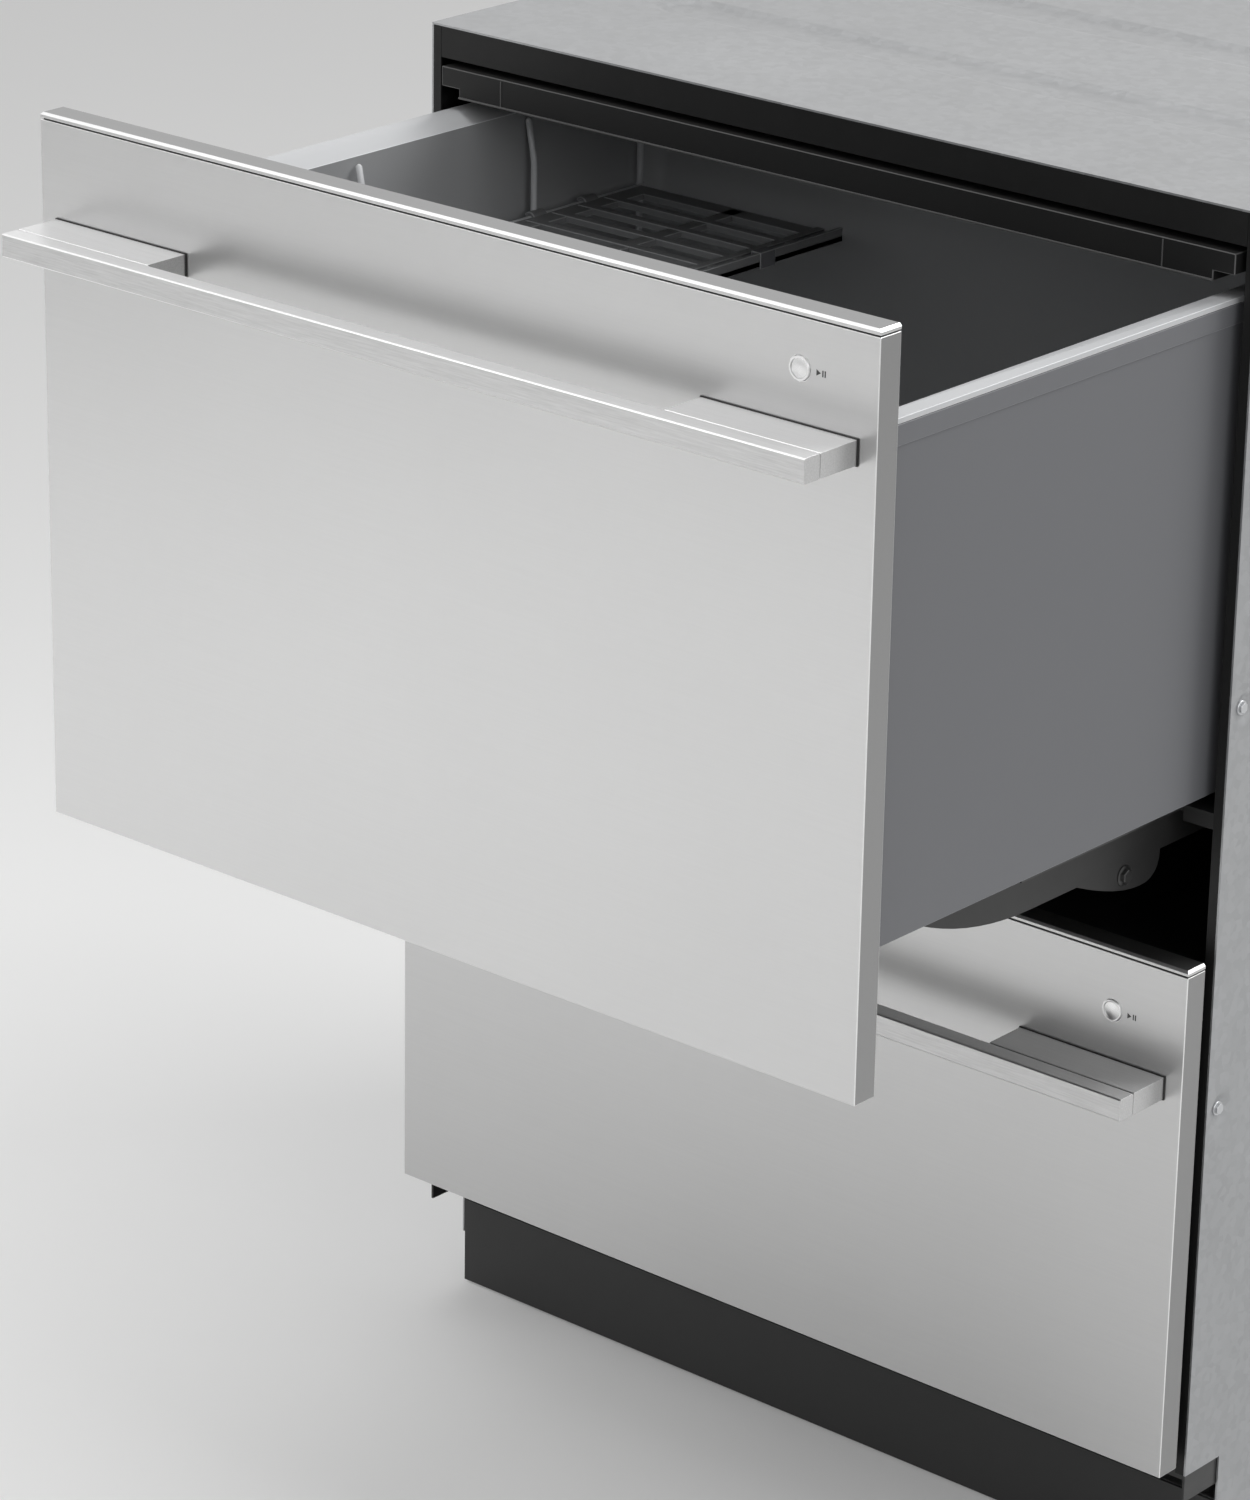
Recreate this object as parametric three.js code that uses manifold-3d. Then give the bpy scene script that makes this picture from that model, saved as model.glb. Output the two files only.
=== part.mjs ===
// A built-in dishwasher with two drawers, one above the other, in a single chassis.
// Each drawer is a tub on telescopic runners behind a steel door with a bar handle.
// The upper drawer stands part open, and the lower one is closed.
//
// Units are millimetres. +X is to the right seen from the front, +Y goes into the
// cabinet and +Z is up. The floor is Z = 0. Inside this file Y = 0 is the outer face
// of a closed door; the finished group is moved so that the origin lies on the floor
// under the middle of the appliance as it stands.

import * as THREE from 'three';
import { mergeVertices } from 'three/addons/utils/BufferGeometryUtils.js';
import loadManifold from 'manifold-3d';

const wasm = await loadManifold();
wasm.setup();

// ---------------------------------------------------------------- clearances
const SEAT_GAP = 0.3;            // air between two pieces that are fastened or rest on each other
const CUT_OVERRUN = 1;           // how far a cutting solid runs past the face it cuts
const MERGE_TOLERANCE = 1e-4;

// ---------------------------------------------------------------- chassis
const PRODUCT_DEPTH = 573;       // closed door face to the back of the chassis
const CHASSIS_WIDTH = 599;
const CHASSIS_TOP_DROP = 1.4;    // top of the upper door sheet to the top of the chassis
const CHASSIS_SETBACK = 24;      // closed door face to the front edge of the side panels
const CHASSIS_SHEET = 1.2;
const SIDE_LIP_WIDTH = 6;
const SIDE_LIP_THICKNESS = 1.5;
const TOP_RAIL_HEIGHT = 20;
const PLINTH_NOTCH_DEPTH = 34;   // cut-back of the side panels over the toe kick
const PLINTH_NOTCH_TOP = 90;
const BASE_CLEARANCE = 36;       // floor to the base pan
const BASE_SHEET = 2;
const BASE_FLANGE_HEIGHT = 24;
const BACK_PANEL_BOTTOM = 100;   // the hoses pass under the back panel
const MID_SHELF_CLEARANCE = 4;   // lower lid to the shelf above it
const TOE_KICK_RECESS = 57;
const TOE_KICK_SHEET = 2;
const TOE_KICK_END_GAP = 2.5;    // side of the chassis to the end of the toe kick
const TOE_KICK_FLOOR_GAP = 2;
const TOE_KICK_TOP = 60;

// ---------------------------------------------------------------- levelling feet
const FOOT_RADIUS = 21;
const FOOT_PAD_HEIGHT = 9;
const FOOT_PAD_EDGE = 4;         // upright edge of the pad
const FOOT_NUT_RADIUS = 12;
const FOOT_NUT_HEIGHT = 8;
const FOOT_STEM_RADIUS = 5;
const FOOT_STEM_TOP = 56;
const FOOT_INSET_X = 38.8;       // side panel to the middle of the foot
const FOOT_INSET_FRONT = 30;     // front of the base pan to the middle of the foot
const FOOT_INSET_REAR = 45;

// ---------------------------------------------------------------- doors
const DOOR_WIDTH = 596;
const DOOR_THICKNESS = 16.5;
const DOOR_SHEET = 1.2;
const CAP_GROOVE = 1;            // dark shadow line between the door sheet and its cap
const CAP_HEIGHT = 3.1;
const CAP_CHAMFER = 1.4;
const DOOR_GAP = 18.9;           // top of the lower door's cap to the upper door
const UPPER_SHEET_HEIGHT = 414.4;
const LOWER_DOOR_BOTTOM = 98;
const LOWER_SHEET_HEIGHT = 314;

// ---------------------------------------------------------------- handles and buttons
const HANDLE_END_INSET = 12;     // edge of the door to the end of the bar
const HANDLE_HEIGHT = 13.5;
const HANDLE_REACH = 42;         // door face to the front of the bar
const HANDLE_BAR_DEPTH = 12.4;
const HANDLE_BLOCK_LENGTH = 101.5;
const HANDLE_BEVEL = 0.8;
const UPPER_HANDLE_DROP = 55;    // top of the door sheet to the top of the bar
const LOWER_HANDLE_DROP = 63.7;
const BUTTON_RADIUS = 6.5;
const BUTTON_FACE_RADIUS = 5.4;
const BUTTON_RING_DEPTH = 0.5;
const BUTTON_LENGTH = 8;
const BUTTON_PROUD = 1;
const BUTTON_TRAVEL = 1;
const BUTTON_FROM_EDGE = 50.3;   // right edge of the door to the middle of the button
const UPPER_BUTTON_DROP = 26.2;  // top of the door sheet to the middle of the button
const LOWER_BUTTON_DROP = 34.2;

// ---------------------------------------------------------------- tubs
const RIM_SIDE_GAP = 14;         // side of the chassis to the edge of the tub's rim
const RIM_BACK = 500;
const RIM_FLAT = 12;
const RIM_SLOPE_WIDTH = 9;
const RIM_SLOPE_DROP = 5.7;
const RIM_THICKNESS = 3.2;
const RIM_CORNER = 14;
const COLLAR_WIDTH = 4;          // extra wall thickness just under the rim
const COLLAR_HEIGHT = 9;
const COLLAR_TAPER = 6;
const TUB_WALL = 3.5;
const TUB_CORNER = 20;
const TUB_FLOOR = 12;            // height of the tub's floor over its underside
const TUB_COVE = 10;             // radius of the round between wall and floor
const TUB_SLOPE = 1;             // fall of the floor to the filter
const BOWL_RADIUS = 170;         // where the floor starts to fall
const UPPER_RIM_DROP = 51.7;     // top of the door sheet to the rim
const LOWER_RIM_DROP = 60;
const UPPER_TUB_HEIGHT = 287.7;
const LOWER_TUB_HEIGHT = 248;
const FILTER_RADIUS = 112;
const FILTER_SEAT_DEPTH = 3;
const FILTER_SEAT_WIDTH = 12;
const SUMP_DEPTH = 4;

// ---------------------------------------------------------------- side claddings
const CLADDING_THICKNESS = 3;
const CLADDING_BAND_PROUD = 1;
const CLADDING_BAND_HEIGHT = 11.5;
const CLADDING_RETURN = 2.5;

// ---------------------------------------------------------------- carrier under the tub
const CARRIER_INSET = 26.5;      // face of the cladding to the face of the carrier
const CARRIER_HEIGHT = 37.4;
const CARRIER_WALL = 2.5;
const CARRIER_FRONT_RADIUS = 240;
const CARRIER_FRONT_FLAT = 200;  // door face to where the underside starts to curve up
const CARRIER_BACK = 482;
const MOTOR_HOLE_RADIUS = 92;
const LUG_START = 243;
const LUG_LENGTH = 78;
const UPPER_LUG_DROP = 17;
const LOWER_LUG_DROP = 4;        // this lug passes over the toe kick
const LUG_THICKNESS = 6;

// ---------------------------------------------------------------- telescopic runners
const RUNNER_DROP = 1.5;         // underside of the tub to the top of the runner
const RUNNER_HEIGHT = 11;
const RUNNER_LIP = 1.3;          // thickness of the runner's rolled lips
const RUNNER_LENGTH = 500;
const RUNNER_END_GAP = 0.5;      // lip of the side panel to the front end of the fixed rail
const MIDDLE_RAIL_WIDTH = 12;
const DRAWER_LIP_WIDTH = 5.5;
const FIXED_LIP_WIDTH = 5.5;
const DRAWER_LIP_START = 114;
const RUNNER_WALL = 1.5;
const BRACKET_DROP = 7;          // top of the runner to the web of its bracket
const BRACKET_HEIGHT = 9.5;
const BRACKET_FLANGE_HEIGHT = 24;

// ---------------------------------------------------------------- lids
const LID_TRAVEL = 6;
const LID_THICKNESS = 18;
const LID_SIDE_GAP = 10.3;       // side panel to the edge of a lid
const LID_START = 20;
const LID_BACK = 504;
const LID_EDGE_NOTCH_WIDTH = 14;
const LID_EDGE_NOTCH_HEIGHT = 6;
const LID_POCKET_DEPTH = 13;
const LID_POCKET_MARGIN = 36;
const LID_RIB_THICKNESS = 4;
const LID_RIB_COUNT = 4;
const SEAL_DROP = 2;             // underside of the lid to the lip of the seal
const SEAL_WIDTH = 7;
const SEAL_CORNER = 22;
const SEAL_INSET = 13.5;         // rim's edge to the seal's edge
const GUIDE_WIDTH = 2.5;
const GUIDE_LENGTH = 30;
const GUIDE_INSET = 40;          // lid's front or back edge to a guide

// ---------------------------------------------------------------- wash system
const MOTOR_RADIUS = 78;
const MOTOR_CAN_HEIGHT = 30;
const MOTOR_NECK_RADIUS = 46;
const MOTOR_NECK_HEIGHT = 12;
const MOTOR_BOSS_RADIUS = 20;
const MOTOR_BOSS_HEIGHT = 10;
const FILTER_THICKNESS = 3;
const SPINDLE_BOSS_RADIUS = 16;
const SPINDLE_BOSS_HEIGHT = 9;
const SPINDLE_RADIUS = 5;
const SPINDLE_HEIGHT = 16;
const FILTER_CUP_RADIUS = 26;
const FILTER_CUP_HEIGHT = 5;
const FILTER_CUP_OFFSET = 62;
const SPRAY_HUB_RADIUS = 27;
const SPRAY_HUB_HEIGHT = 22;
const SPRAY_CAP_THICKNESS = 3;
const SPRAY_ARM_REACH = 192;
const SPRAY_ARM_ROOT = 46;
const SPRAY_ARM_TIP = 30;
const SPRAY_ARM_THICKNESS = 10;
const SPRAY_ARM_LIFT = 4;
const SPRAY_JET_RADIUS = 2.2;
const SPRAY_JET_DEPTH = 2;
const SPRAY_JETS = [50, 84, 118, 152, 178];

// ---------------------------------------------------------------- racks
const WIRE_RADIUS = 2;
const TINE_RADIUS = 1.8;
const WIRE_WELD = 0.4;           // how far one crossing wire sinks into another
const WIRE_SIDES = 6;
const TINE_SIDES = 4;
const RACK_INSET = 10.5;         // tub wall to the middle of the rack's outer wire
const RACK_LIFT = 44;            // tub floor to the rack's lowest wires
const RACK_RAIL_LIFT = 38;       // lowest wires to the upper loop
const RACK_CROSS_WIRES = 7;
const RACK_LONG_WIRES = [-175, -95, -20, 55, 150, 200];
const LEDGE_WIDTH = 26;          // ledges in the tub's corners carry the rack
const RACK_POST_COUNT = 4;       // short posts between the loops on each long side
const TALL_WIRES_FROM_BACK = [5, 103, 251]; // rack's back wire to each tall side wire
const TALL_WIRE_OUTSET = 2;
const TALL_WIRE_LEAN = 5;
const TALL_WIRE_KNEE_DROP = 35;       // rim to the bend in a tall wire
const TALL_WIRE_TOP_DROP = 10;        // rim to the top of a tall wire
const TINE_HEIGHT = 74;
const TINE_PITCH = 29;
const TINE_COUNT = 11;
const TINE_START = 104;          // rack's front wire to the first tine
const UPPER_TINE_ROWS = [-20, 200];
const LOWER_TINE_ROWS = [55];
const FOLD_ROW_X = 108;
const FOLD_CLIP_LENGTH = 12;
const FOLD_CLIP_WALL = 2.6;
const CUP_RACK_DROP = 69.7;      // rim to the hinge wire of the cup rack
const CUP_RACK_WIDTH = 160;
const CUP_RACK_THICKNESS = 4;
const CUP_RACK_END_GAP = 5;      // tall wire to the end of the cup rack
const CUP_RACK_RIM_HEIGHT = 5;
const CUP_RACK_RIM_WIDTH = 3;
const CUP_RACK_BORDER = 14;
const CUP_RACK_SLOTS = 9;
const CUP_RACK_BAR = 7;
const CUP_RACK_SPINE = 10;       // bar along the middle of the cup rack
const CUP_RACK_CLIP_LENGTH = 14;
const CUP_RACK_CLIP_RADIUS = 4.6;
const CUP_RACK_CLIPS = 2;        // clips on each side of the middle tall wire
const HINGE_WIRE_INSET = 3;      // middle of a tall wire to the middle of the hinge wire

// ---------------------------------------------------------------- basket and dispenser
const BASKET_LEFT = -76;
const BASKET_WIRE_GAP = 4;       // rack's front wire to the basket
const BASKET_LENGTH = 140;
const BASKET_WIDTH = 64;
const BASKET_HEIGHT = 118;
const BASKET_WALL = 2.2;
const BASKET_SLOTS = 7;
const BASKET_END_SLOTS = 3;
const BASKET_SLOT_WIDTH = 9;
const BASKET_SLOT_MARGIN = 16;
const DISPENSER_LEFT = 84;
const DISPENSER_WIDTH = 122;
const DISPENSER_HEIGHT = 104;
const DISPENSER_DEPTH = 18;
const DISPENSER_DROP = 62;       // rim to the top of the dispenser
const DISPENSER_CORNER = 8;
const CUP_WIDTH = 62;
const CUP_HEIGHT = 56;
const CUP_DEPTH = 13;
const CUP_MARGIN = 10;
const RINSE_CAP_RADIUS = 16;
const RINSE_CAP_HEIGHT = 4;
const LID_PLATE_THICKNESS = 3;
const LID_PLATE_MARGIN = 4;
const LID_PLATE_CORNER = 6;

// ---------------------------------------------------------------- services at the back
const VALVE_WIDTH = 46;
const VALVE_DEPTH = 30;
const VALVE_HEIGHT = 34;
const VALVE_FROM_LEFT = 90;
const VALVE_FROM_BACK = 40;
const VALVE_SPOUT_RADIUS = 13;
const VALVE_SPOUT_BORE = 9;
const VALVE_SPOUT_LENGTH = 18;
const POWER_BOX_WIDTH = 60;
const POWER_BOX_DEPTH = 30;
const POWER_BOX_HEIGHT = 38;
const POWER_BOX_FROM_RIGHT = 110;
const POWER_BOX_FROM_BACK = 34;
const GLAND_RADIUS = 9;
const GLAND_BORE = 4;
const GLAND_LENGTH = 14;

// ---------------------------------------------------------------- travel
const UPPER_OPENED = 297.6;      // how far the upper drawer stands open
const LOWER_OPENED = 0;
const MIDDLE_RAIL_SHARE = 0.5;   // a middle rail moves half as far as its drawer

// ---------------------------------------------------------------- facets
const CORNER_STEPS = 6;
const COVE_STEPS = 3;
const ROUND_SIDES = 20;
const JET_SIDES = 6;
const ARC_STEPS = 6;

// ================================================================ shared places
const half = (length) => length / 2;
const QUARTER_TURN = half(Math.PI);
const doorHalf = half(DOOR_WIDTH);
const chassisHalf = half(CHASSIS_WIDTH);
const chassisInner = chassisHalf - CHASSIS_SHEET;
const handleHalf = doorHalf - HANDLE_END_INSET;
const rimHalf = chassisHalf - RIM_SIDE_GAP;
const rimFront = DOOR_THICKNESS + SEAT_GAP;
const wallInset = RIM_FLAT + RIM_SLOPE_WIDTH;
const cavity = { x: rimHalf - wallInset, front: rimFront + wallInset, back: RIM_BACK - wallInset };
const tubMiddle = half(cavity.front + cavity.back);
const claddingFace = rimHalf - CLADDING_BAND_PROUD;
const carrierHalf = claddingFace - CARRIER_INSET;
const baseFront = TOE_KICK_RECESS + TOE_KICK_SHEET + SEAT_GAP;
const baseTop = BASE_CLEARANCE + BASE_SHEET;
const sideLipBack = CHASSIS_SETBACK + SIDE_LIP_THICKNESS;
const runnerStart = sideLipBack + RUNNER_END_GAP;
const lidHalf = chassisInner - LID_SIDE_GAP;
const lowerCapTop = LOWER_DOOR_BOTTOM + LOWER_SHEET_HEIGHT + CAP_GROOVE + CAP_HEIGHT;

// Works out every level that one drawer's pieces share.
function drawerLevels(name, sizes) {
  const sheetTop = sizes.doorBottom + sizes.sheetHeight;
  const rim = sheetTop - sizes.rimDrop;
  const underside = rim - sizes.tubHeight;
  const floor = underside + TUB_FLOOR;
  const lid = rim + SEAT_GAP + LID_TRAVEL + SEAL_DROP;
  return { name, ...sizes, sheetTop, rim, underside, floor, lid, lidTop: lid + LID_THICKNESS };
}

const upper = drawerLevels('upper', {
  doorBottom: lowerCapTop + DOOR_GAP,
  sheetHeight: UPPER_SHEET_HEIGHT,
  handleDrop: UPPER_HANDLE_DROP,
  buttonDrop: UPPER_BUTTON_DROP,
  rimDrop: UPPER_RIM_DROP,
  tubHeight: UPPER_TUB_HEIGHT,
  lugDrop: UPPER_LUG_DROP,
  opened: UPPER_OPENED,
});
const lower = drawerLevels('lower', {
  doorBottom: LOWER_DOOR_BOTTOM,
  sheetHeight: LOWER_SHEET_HEIGHT,
  handleDrop: LOWER_HANDLE_DROP,
  buttonDrop: LOWER_BUTTON_DROP,
  rimDrop: LOWER_RIM_DROP,
  tubHeight: LOWER_TUB_HEIGHT,
  lugDrop: LOWER_LUG_DROP,
  opened: LOWER_OPENED,
});
const chassisHeight = upper.sheetTop - CHASSIS_TOP_DROP;

// ================================================================ solids from three.js shapes
function solidOf(geometry) {
  const bare = geometry.clone();
  bare.deleteAttribute('normal');
  bare.deleteAttribute('uv');
  const merged = mergeVertices(bare, MERGE_TOLERANCE);
  const { array } = merged.index;
  const corners = range(array.length / 3).map((index) => [...array.subarray(3 * index, 3 * index + 3)]);
  return new wasm.Manifold(new wasm.Mesh({
    numProp: 3,
    vertProperties: new Float32Array(merged.attributes.position.array),
    triVerts: new Uint32Array(corners.filter((triangle) => new Set(triangle).size === 3).flat()),
  }));
}

function geometryOf(solid) {
  const mesh = solid.getMesh();
  const geometry = new THREE.BufferGeometry();
  geometry.setAttribute('position', new THREE.BufferAttribute(mesh.vertProperties, 3));
  geometry.setIndex(new THREE.BufferAttribute(mesh.triVerts, 1));
  geometry.computeVertexNormals();
  return geometry;
}

const join = (solids) => solids.reduce((whole, piece) => whole.add(piece));
const cut = (solid, tools) => tools.reduce((rest, tool) => rest.subtract(tool), solid);
const range = (count) => Array.from({ length: count }, (_, index) => index);

// Pieces are drawn for the right side; side = -1 mirrors them to the left.
const mirrored = (solid, side) => (side > 0 ? solid : solid.mirror([1, 0, 0]));

// A box between two values on each axis.
function block([x0, x1], [y0, y1], [z0, z1]) {
  const box = new THREE.BoxGeometry(x1 - x0, y1 - y0, z1 - z0);
  return solidOf(box.translate(half(x0 + x1), half(y0 + y1), half(z0 + z1)));
}

const extrude = (shape, depth) => new THREE.ExtrudeGeometry(shape, {
  depth,
  bevelEnabled: false,
  curveSegments: ARC_STEPS,
});

// Extrudes an outline drawn in Y and Z along X.
function alongX(shape, x0, x1) {
  const turn = new THREE.Matrix4().makeBasis(
    new THREE.Vector3(0, 1, 0),
    new THREE.Vector3(0, 0, 1),
    new THREE.Vector3(1, 0, 0),
  );
  return solidOf(extrude(shape, x1 - x0).applyMatrix4(turn).translate(x0, 0, 0));
}

// Extrudes an outline drawn in X and Z along Y.
function alongY(shape, y0, y1) {
  const turn = new THREE.Matrix4().makeRotationX(QUARTER_TURN);
  return solidOf(extrude(shape, y1 - y0).applyMatrix4(turn).translate(0, y1, 0));
}

// Extrudes an outline drawn in X and Y along Z.
const alongZ = (shape, z0, z1) => solidOf(extrude(shape, z1 - z0).translate(0, 0, z0));

function outline(points) {
  const shape = new THREE.Shape();
  points.forEach(([x, y], index) => (index === 0 ? shape.moveTo(x, y) : shape.lineTo(x, y)));
  return shape;
}

function roundedRectangle(x0, x1, y0, y1, radius) {
  const shape = new THREE.Shape();
  const centres = [[x1 - radius, y1 - radius], [x0 + radius, y1 - radius],
    [x0 + radius, y0 + radius], [x1 - radius, y0 + radius]];
  centres.forEach(([x, y], corner) => {
    shape.absarc(x, y, radius, corner * QUARTER_TURN, (corner + 1) * QUARTER_TURN);
  });
  return shape;
}

// A solid turned about the vertical through (x, y), from a closed profile of radius and height.
function turned(profile, x, y, sides = ROUND_SIDES) {
  const points = profile.map(([radius, z]) => new THREE.Vector2(radius, z));
  const lathe = new THREE.LatheGeometry(points, sides);
  return solidOf(lathe.rotateX(QUARTER_TURN).translate(x, y, 0));
}

const disc = (radius, z0, z1, x, y, sides) => (
  turned([[0, z0], [radius, z0], [radius, z1], [0, z1]], x, y, sides)
);

// A straight round wire between two points.
function wire(from, to, radius = WIRE_RADIUS, sides = WIRE_SIDES) {
  const start = new THREE.Vector3(...from);
  const reach = new THREE.Vector3(...to).sub(start);
  const rod = new THREE.CylinderGeometry(radius, radius, reach.length(), sides);
  rod.translate(0, half(reach.length()), 0);
  const turn = new THREE.Quaternion().setFromUnitVectors(
    new THREE.Vector3(0, 1, 0),
    reach.clone().normalize(),
  );
  return solidOf(rod.applyQuaternion(turn).translate(start.x, start.y, start.z));
}

// One level of a tub: a rectangle with round corners, as a ring of points at height z.
function ring(x, front, back, radius, z) {
  const centres = [[x - radius, back - radius], [radius - x, back - radius],
    [radius - x, front + radius], [x - radius, front + radius]];
  return centres.flatMap(([cx, cy], corner) => range(CORNER_STEPS + 1).map((step) => {
    const angle = (corner + step / CORNER_STEPS) * QUARTER_TURN;
    return [cx + radius * Math.cos(angle), cy + radius * Math.sin(angle), z];
  }));
}

// Joins rings of equal point count, lowest first, into one closed solid.
function stack(rings) {
  const count = rings[0].length;
  const triangles = [];
  for (const i of range(count - 2)) {
    triangles.push(0, i + 2, i + 1);
    const top = (rings.length - 1) * count;
    triangles.push(top, top + i + 1, top + i + 2);
  }
  for (const level of range(rings.length - 1)) {
    for (const i of range(count)) {
      const a = level * count + i;
      const b = level * count + ((i + 1) % count);
      triangles.push(a, b, b + count, a, b + count, a + count);
    }
  }
  const geometry = new THREE.BufferGeometry();
  geometry.setAttribute('position', new THREE.Float32BufferAttribute(rings.flat(2), 3));
  geometry.setIndex(triangles);
  return solidOf(geometry);
}

// ================================================================ finishes
const FINISHES = {
  steel: { color: 0xc3c4c6, metalness: 1, roughness: 0.32 },
  polished: { color: 0xdcdddf, metalness: 1, roughness: 0.16 },
  galvanised: { color: 0x8d9092, metalness: 0.9, roughness: 0.5 },
  black: { color: 0x161718, metalness: 0, roughness: 0.55 },
  charcoal: { color: 0x3b3c3e, metalness: 0, roughness: 0.6 },
  slate: { color: 0x6b6c71, metalness: 0, roughness: 0.5 },
  tub: { color: 0xb9bbbd, metalness: 0, roughness: 0.45 },
  rubber: { color: 0x232425, metalness: 0, roughness: 0.8 },
  wire: { color: 0x9a9ca0, metalness: 0, roughness: 0.4 },
  white: { color: 0xe3e4e4, metalness: 0, roughness: 0.4 },
};

function piece(name, solid, finish) {
  const mesh = new THREE.Mesh(geometryOf(solid), new THREE.MeshStandardMaterial(FINISHES[finish]));
  mesh.name = name;
  return mesh;
}

// ================================================================ chassis
const sideBottom = BASE_CLEARANCE;
const sideTop = chassisHeight - CHASSIS_SHEET - SEAT_GAP;

// One side panel: a notched sheet with a narrow lip turned in along its front edge.
function chassisSide(side) {
  const notchBack = CHASSIS_SETBACK + PLINTH_NOTCH_DEPTH;
  const sheet = alongX(outline([
    [CHASSIS_SETBACK, PLINTH_NOTCH_TOP], [notchBack, PLINTH_NOTCH_TOP], [notchBack, sideBottom],
    [PRODUCT_DEPTH, sideBottom], [PRODUCT_DEPTH, sideTop], [CHASSIS_SETBACK, sideTop],
  ]), chassisInner, chassisHalf);
  const lip = block(
    [chassisInner - SIDE_LIP_WIDTH, chassisHalf],
    [CHASSIS_SETBACK, sideLipBack],
    [PLINTH_NOTCH_TOP, sideTop],
  );
  return mirrored(sheet.add(lip), side);
}

function lidGuides(drawer, plateBottom) {
  const inner = lidHalf + SEAT_GAP;
  const low = drawer.lid - LID_TRAVEL;
  const starts = [LID_START + GUIDE_INSET, LID_BACK - GUIDE_INSET - GUIDE_LENGTH];
  return starts.flatMap((start) => [1, -1].map((side) => mirrored(block(
    [inner, inner + GUIDE_WIDTH],
    [start, start + GUIDE_LENGTH],
    [low, plateBottom + half(CHASSIS_SHEET)],
  ), side)));
}

function chassisTop() {
  const plateBottom = chassisHeight - CHASSIS_SHEET;
  const plate = block(
    [-chassisHalf, chassisHalf],
    [CHASSIS_SETBACK, PRODUCT_DEPTH],
    [plateBottom, chassisHeight],
  );
  const railHalf = chassisInner - SIDE_LIP_WIDTH - SEAT_GAP;
  const rail = block(
    [-railHalf, railHalf],
    [CHASSIS_SETBACK, CHASSIS_SETBACK + CHASSIS_SHEET],
    [chassisHeight - TOP_RAIL_HEIGHT, chassisHeight - half(CHASSIS_SHEET)],
  );
  return join([plate, rail, ...lidGuides(upper, plateBottom)]);
}

function midShelf() {
  const bottom = lower.lidTop + MID_SHELF_CLEARANCE;
  const reach = chassisInner - SEAT_GAP;
  const plate = block(
    [-reach, reach],
    [runnerStart, PRODUCT_DEPTH - CHASSIS_SHEET - SEAT_GAP],
    [bottom, bottom + CHASSIS_SHEET],
  );
  return join([plate, ...lidGuides(lower, bottom)]);
}

function backPanel() {
  const reach = chassisInner - SEAT_GAP;
  const y = [PRODUCT_DEPTH - CHASSIS_SHEET, PRODUCT_DEPTH];
  return block([-reach, reach], y, [BACK_PANEL_BOTTOM, sideTop]);
}

const footPlaces = [
  ['front_left', -1, baseFront + FOOT_INSET_FRONT],
  ['front_right', 1, baseFront + FOOT_INSET_FRONT],
  ['rear_left', -1, PRODUCT_DEPTH - FOOT_INSET_REAR],
  ['rear_right', 1, PRODUCT_DEPTH - FOOT_INSET_REAR],
].map(([name, side, y]) => ({ name, x: side * (chassisInner - FOOT_INSET_X), y }));

// A shallow pan that ties the side panels together and takes the feet.
function basePan() {
  const reach = chassisInner - SEAT_GAP;
  const levels = [BASE_CLEARANCE, BASE_CLEARANCE + BASE_FLANGE_HEIGHT];
  const plate = block([-reach, reach], [baseFront, PRODUCT_DEPTH], [BASE_CLEARANCE, baseTop]);
  const front = block([-reach, reach], [baseFront, baseFront + CHASSIS_SHEET], levels);
  const flange = block([reach - CHASSIS_SHEET, reach], [baseFront, PRODUCT_DEPTH], levels);
  const holes = footPlaces.map(({ x, y }) => disc(
    FOOT_STEM_RADIUS + SEAT_GAP,
    BASE_CLEARANCE - CUT_OVERRUN,
    baseTop + CUT_OVERRUN,
    x,
    y,
  ));
  return cut(join([plate, front, flange, mirrored(flange, -1)]), holes);
}

function levellingFoot({ x, y }) {
  const nutBottom = BASE_CLEARANCE - SEAT_GAP - FOOT_NUT_HEIGHT;
  return turned([
    [0, 0], [FOOT_RADIUS, 0], [FOOT_RADIUS, FOOT_PAD_EDGE],
    [FOOT_NUT_RADIUS, FOOT_PAD_HEIGHT], [FOOT_STEM_RADIUS, FOOT_PAD_HEIGHT],
    [FOOT_STEM_RADIUS, nutBottom], [FOOT_NUT_RADIUS, nutBottom],
    [FOOT_NUT_RADIUS, nutBottom + FOOT_NUT_HEIGHT], [FOOT_STEM_RADIUS, nutBottom + FOOT_NUT_HEIGHT],
    [FOOT_STEM_RADIUS, FOOT_STEM_TOP], [0, FOOT_STEM_TOP],
  ], x, y);
}

const toeKickHalf = chassisHalf - TOE_KICK_END_GAP;

const toeKick = () => block(
  [-toeKickHalf, toeKickHalf],
  [TOE_KICK_RECESS, TOE_KICK_RECESS + TOE_KICK_SHEET],
  [TOE_KICK_FLOOR_GAP, TOE_KICK_TOP],
);

// The water valve stands on the base pan, with its threaded spout to the back.
function inletValve() {
  const x = VALVE_FROM_LEFT - chassisHalf;
  const back = PRODUCT_DEPTH - VALVE_FROM_BACK;
  const bottom = baseTop + SEAT_GAP;
  const body = block([x, x + VALVE_WIDTH], [back - VALVE_DEPTH, back], [bottom, bottom + VALVE_HEIGHT]);
  const middle = [x + half(VALVE_WIDTH), bottom + half(VALVE_HEIGHT)];
  return body.add(tubeAlongY(middle, VALVE_SPOUT_RADIUS, back - CUT_OVERRUN, back + VALVE_SPOUT_LENGTH))
    .subtract(tubeAlongY(middle, VALVE_SPOUT_BORE, back, back + VALVE_SPOUT_LENGTH + CUT_OVERRUN));
}

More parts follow.
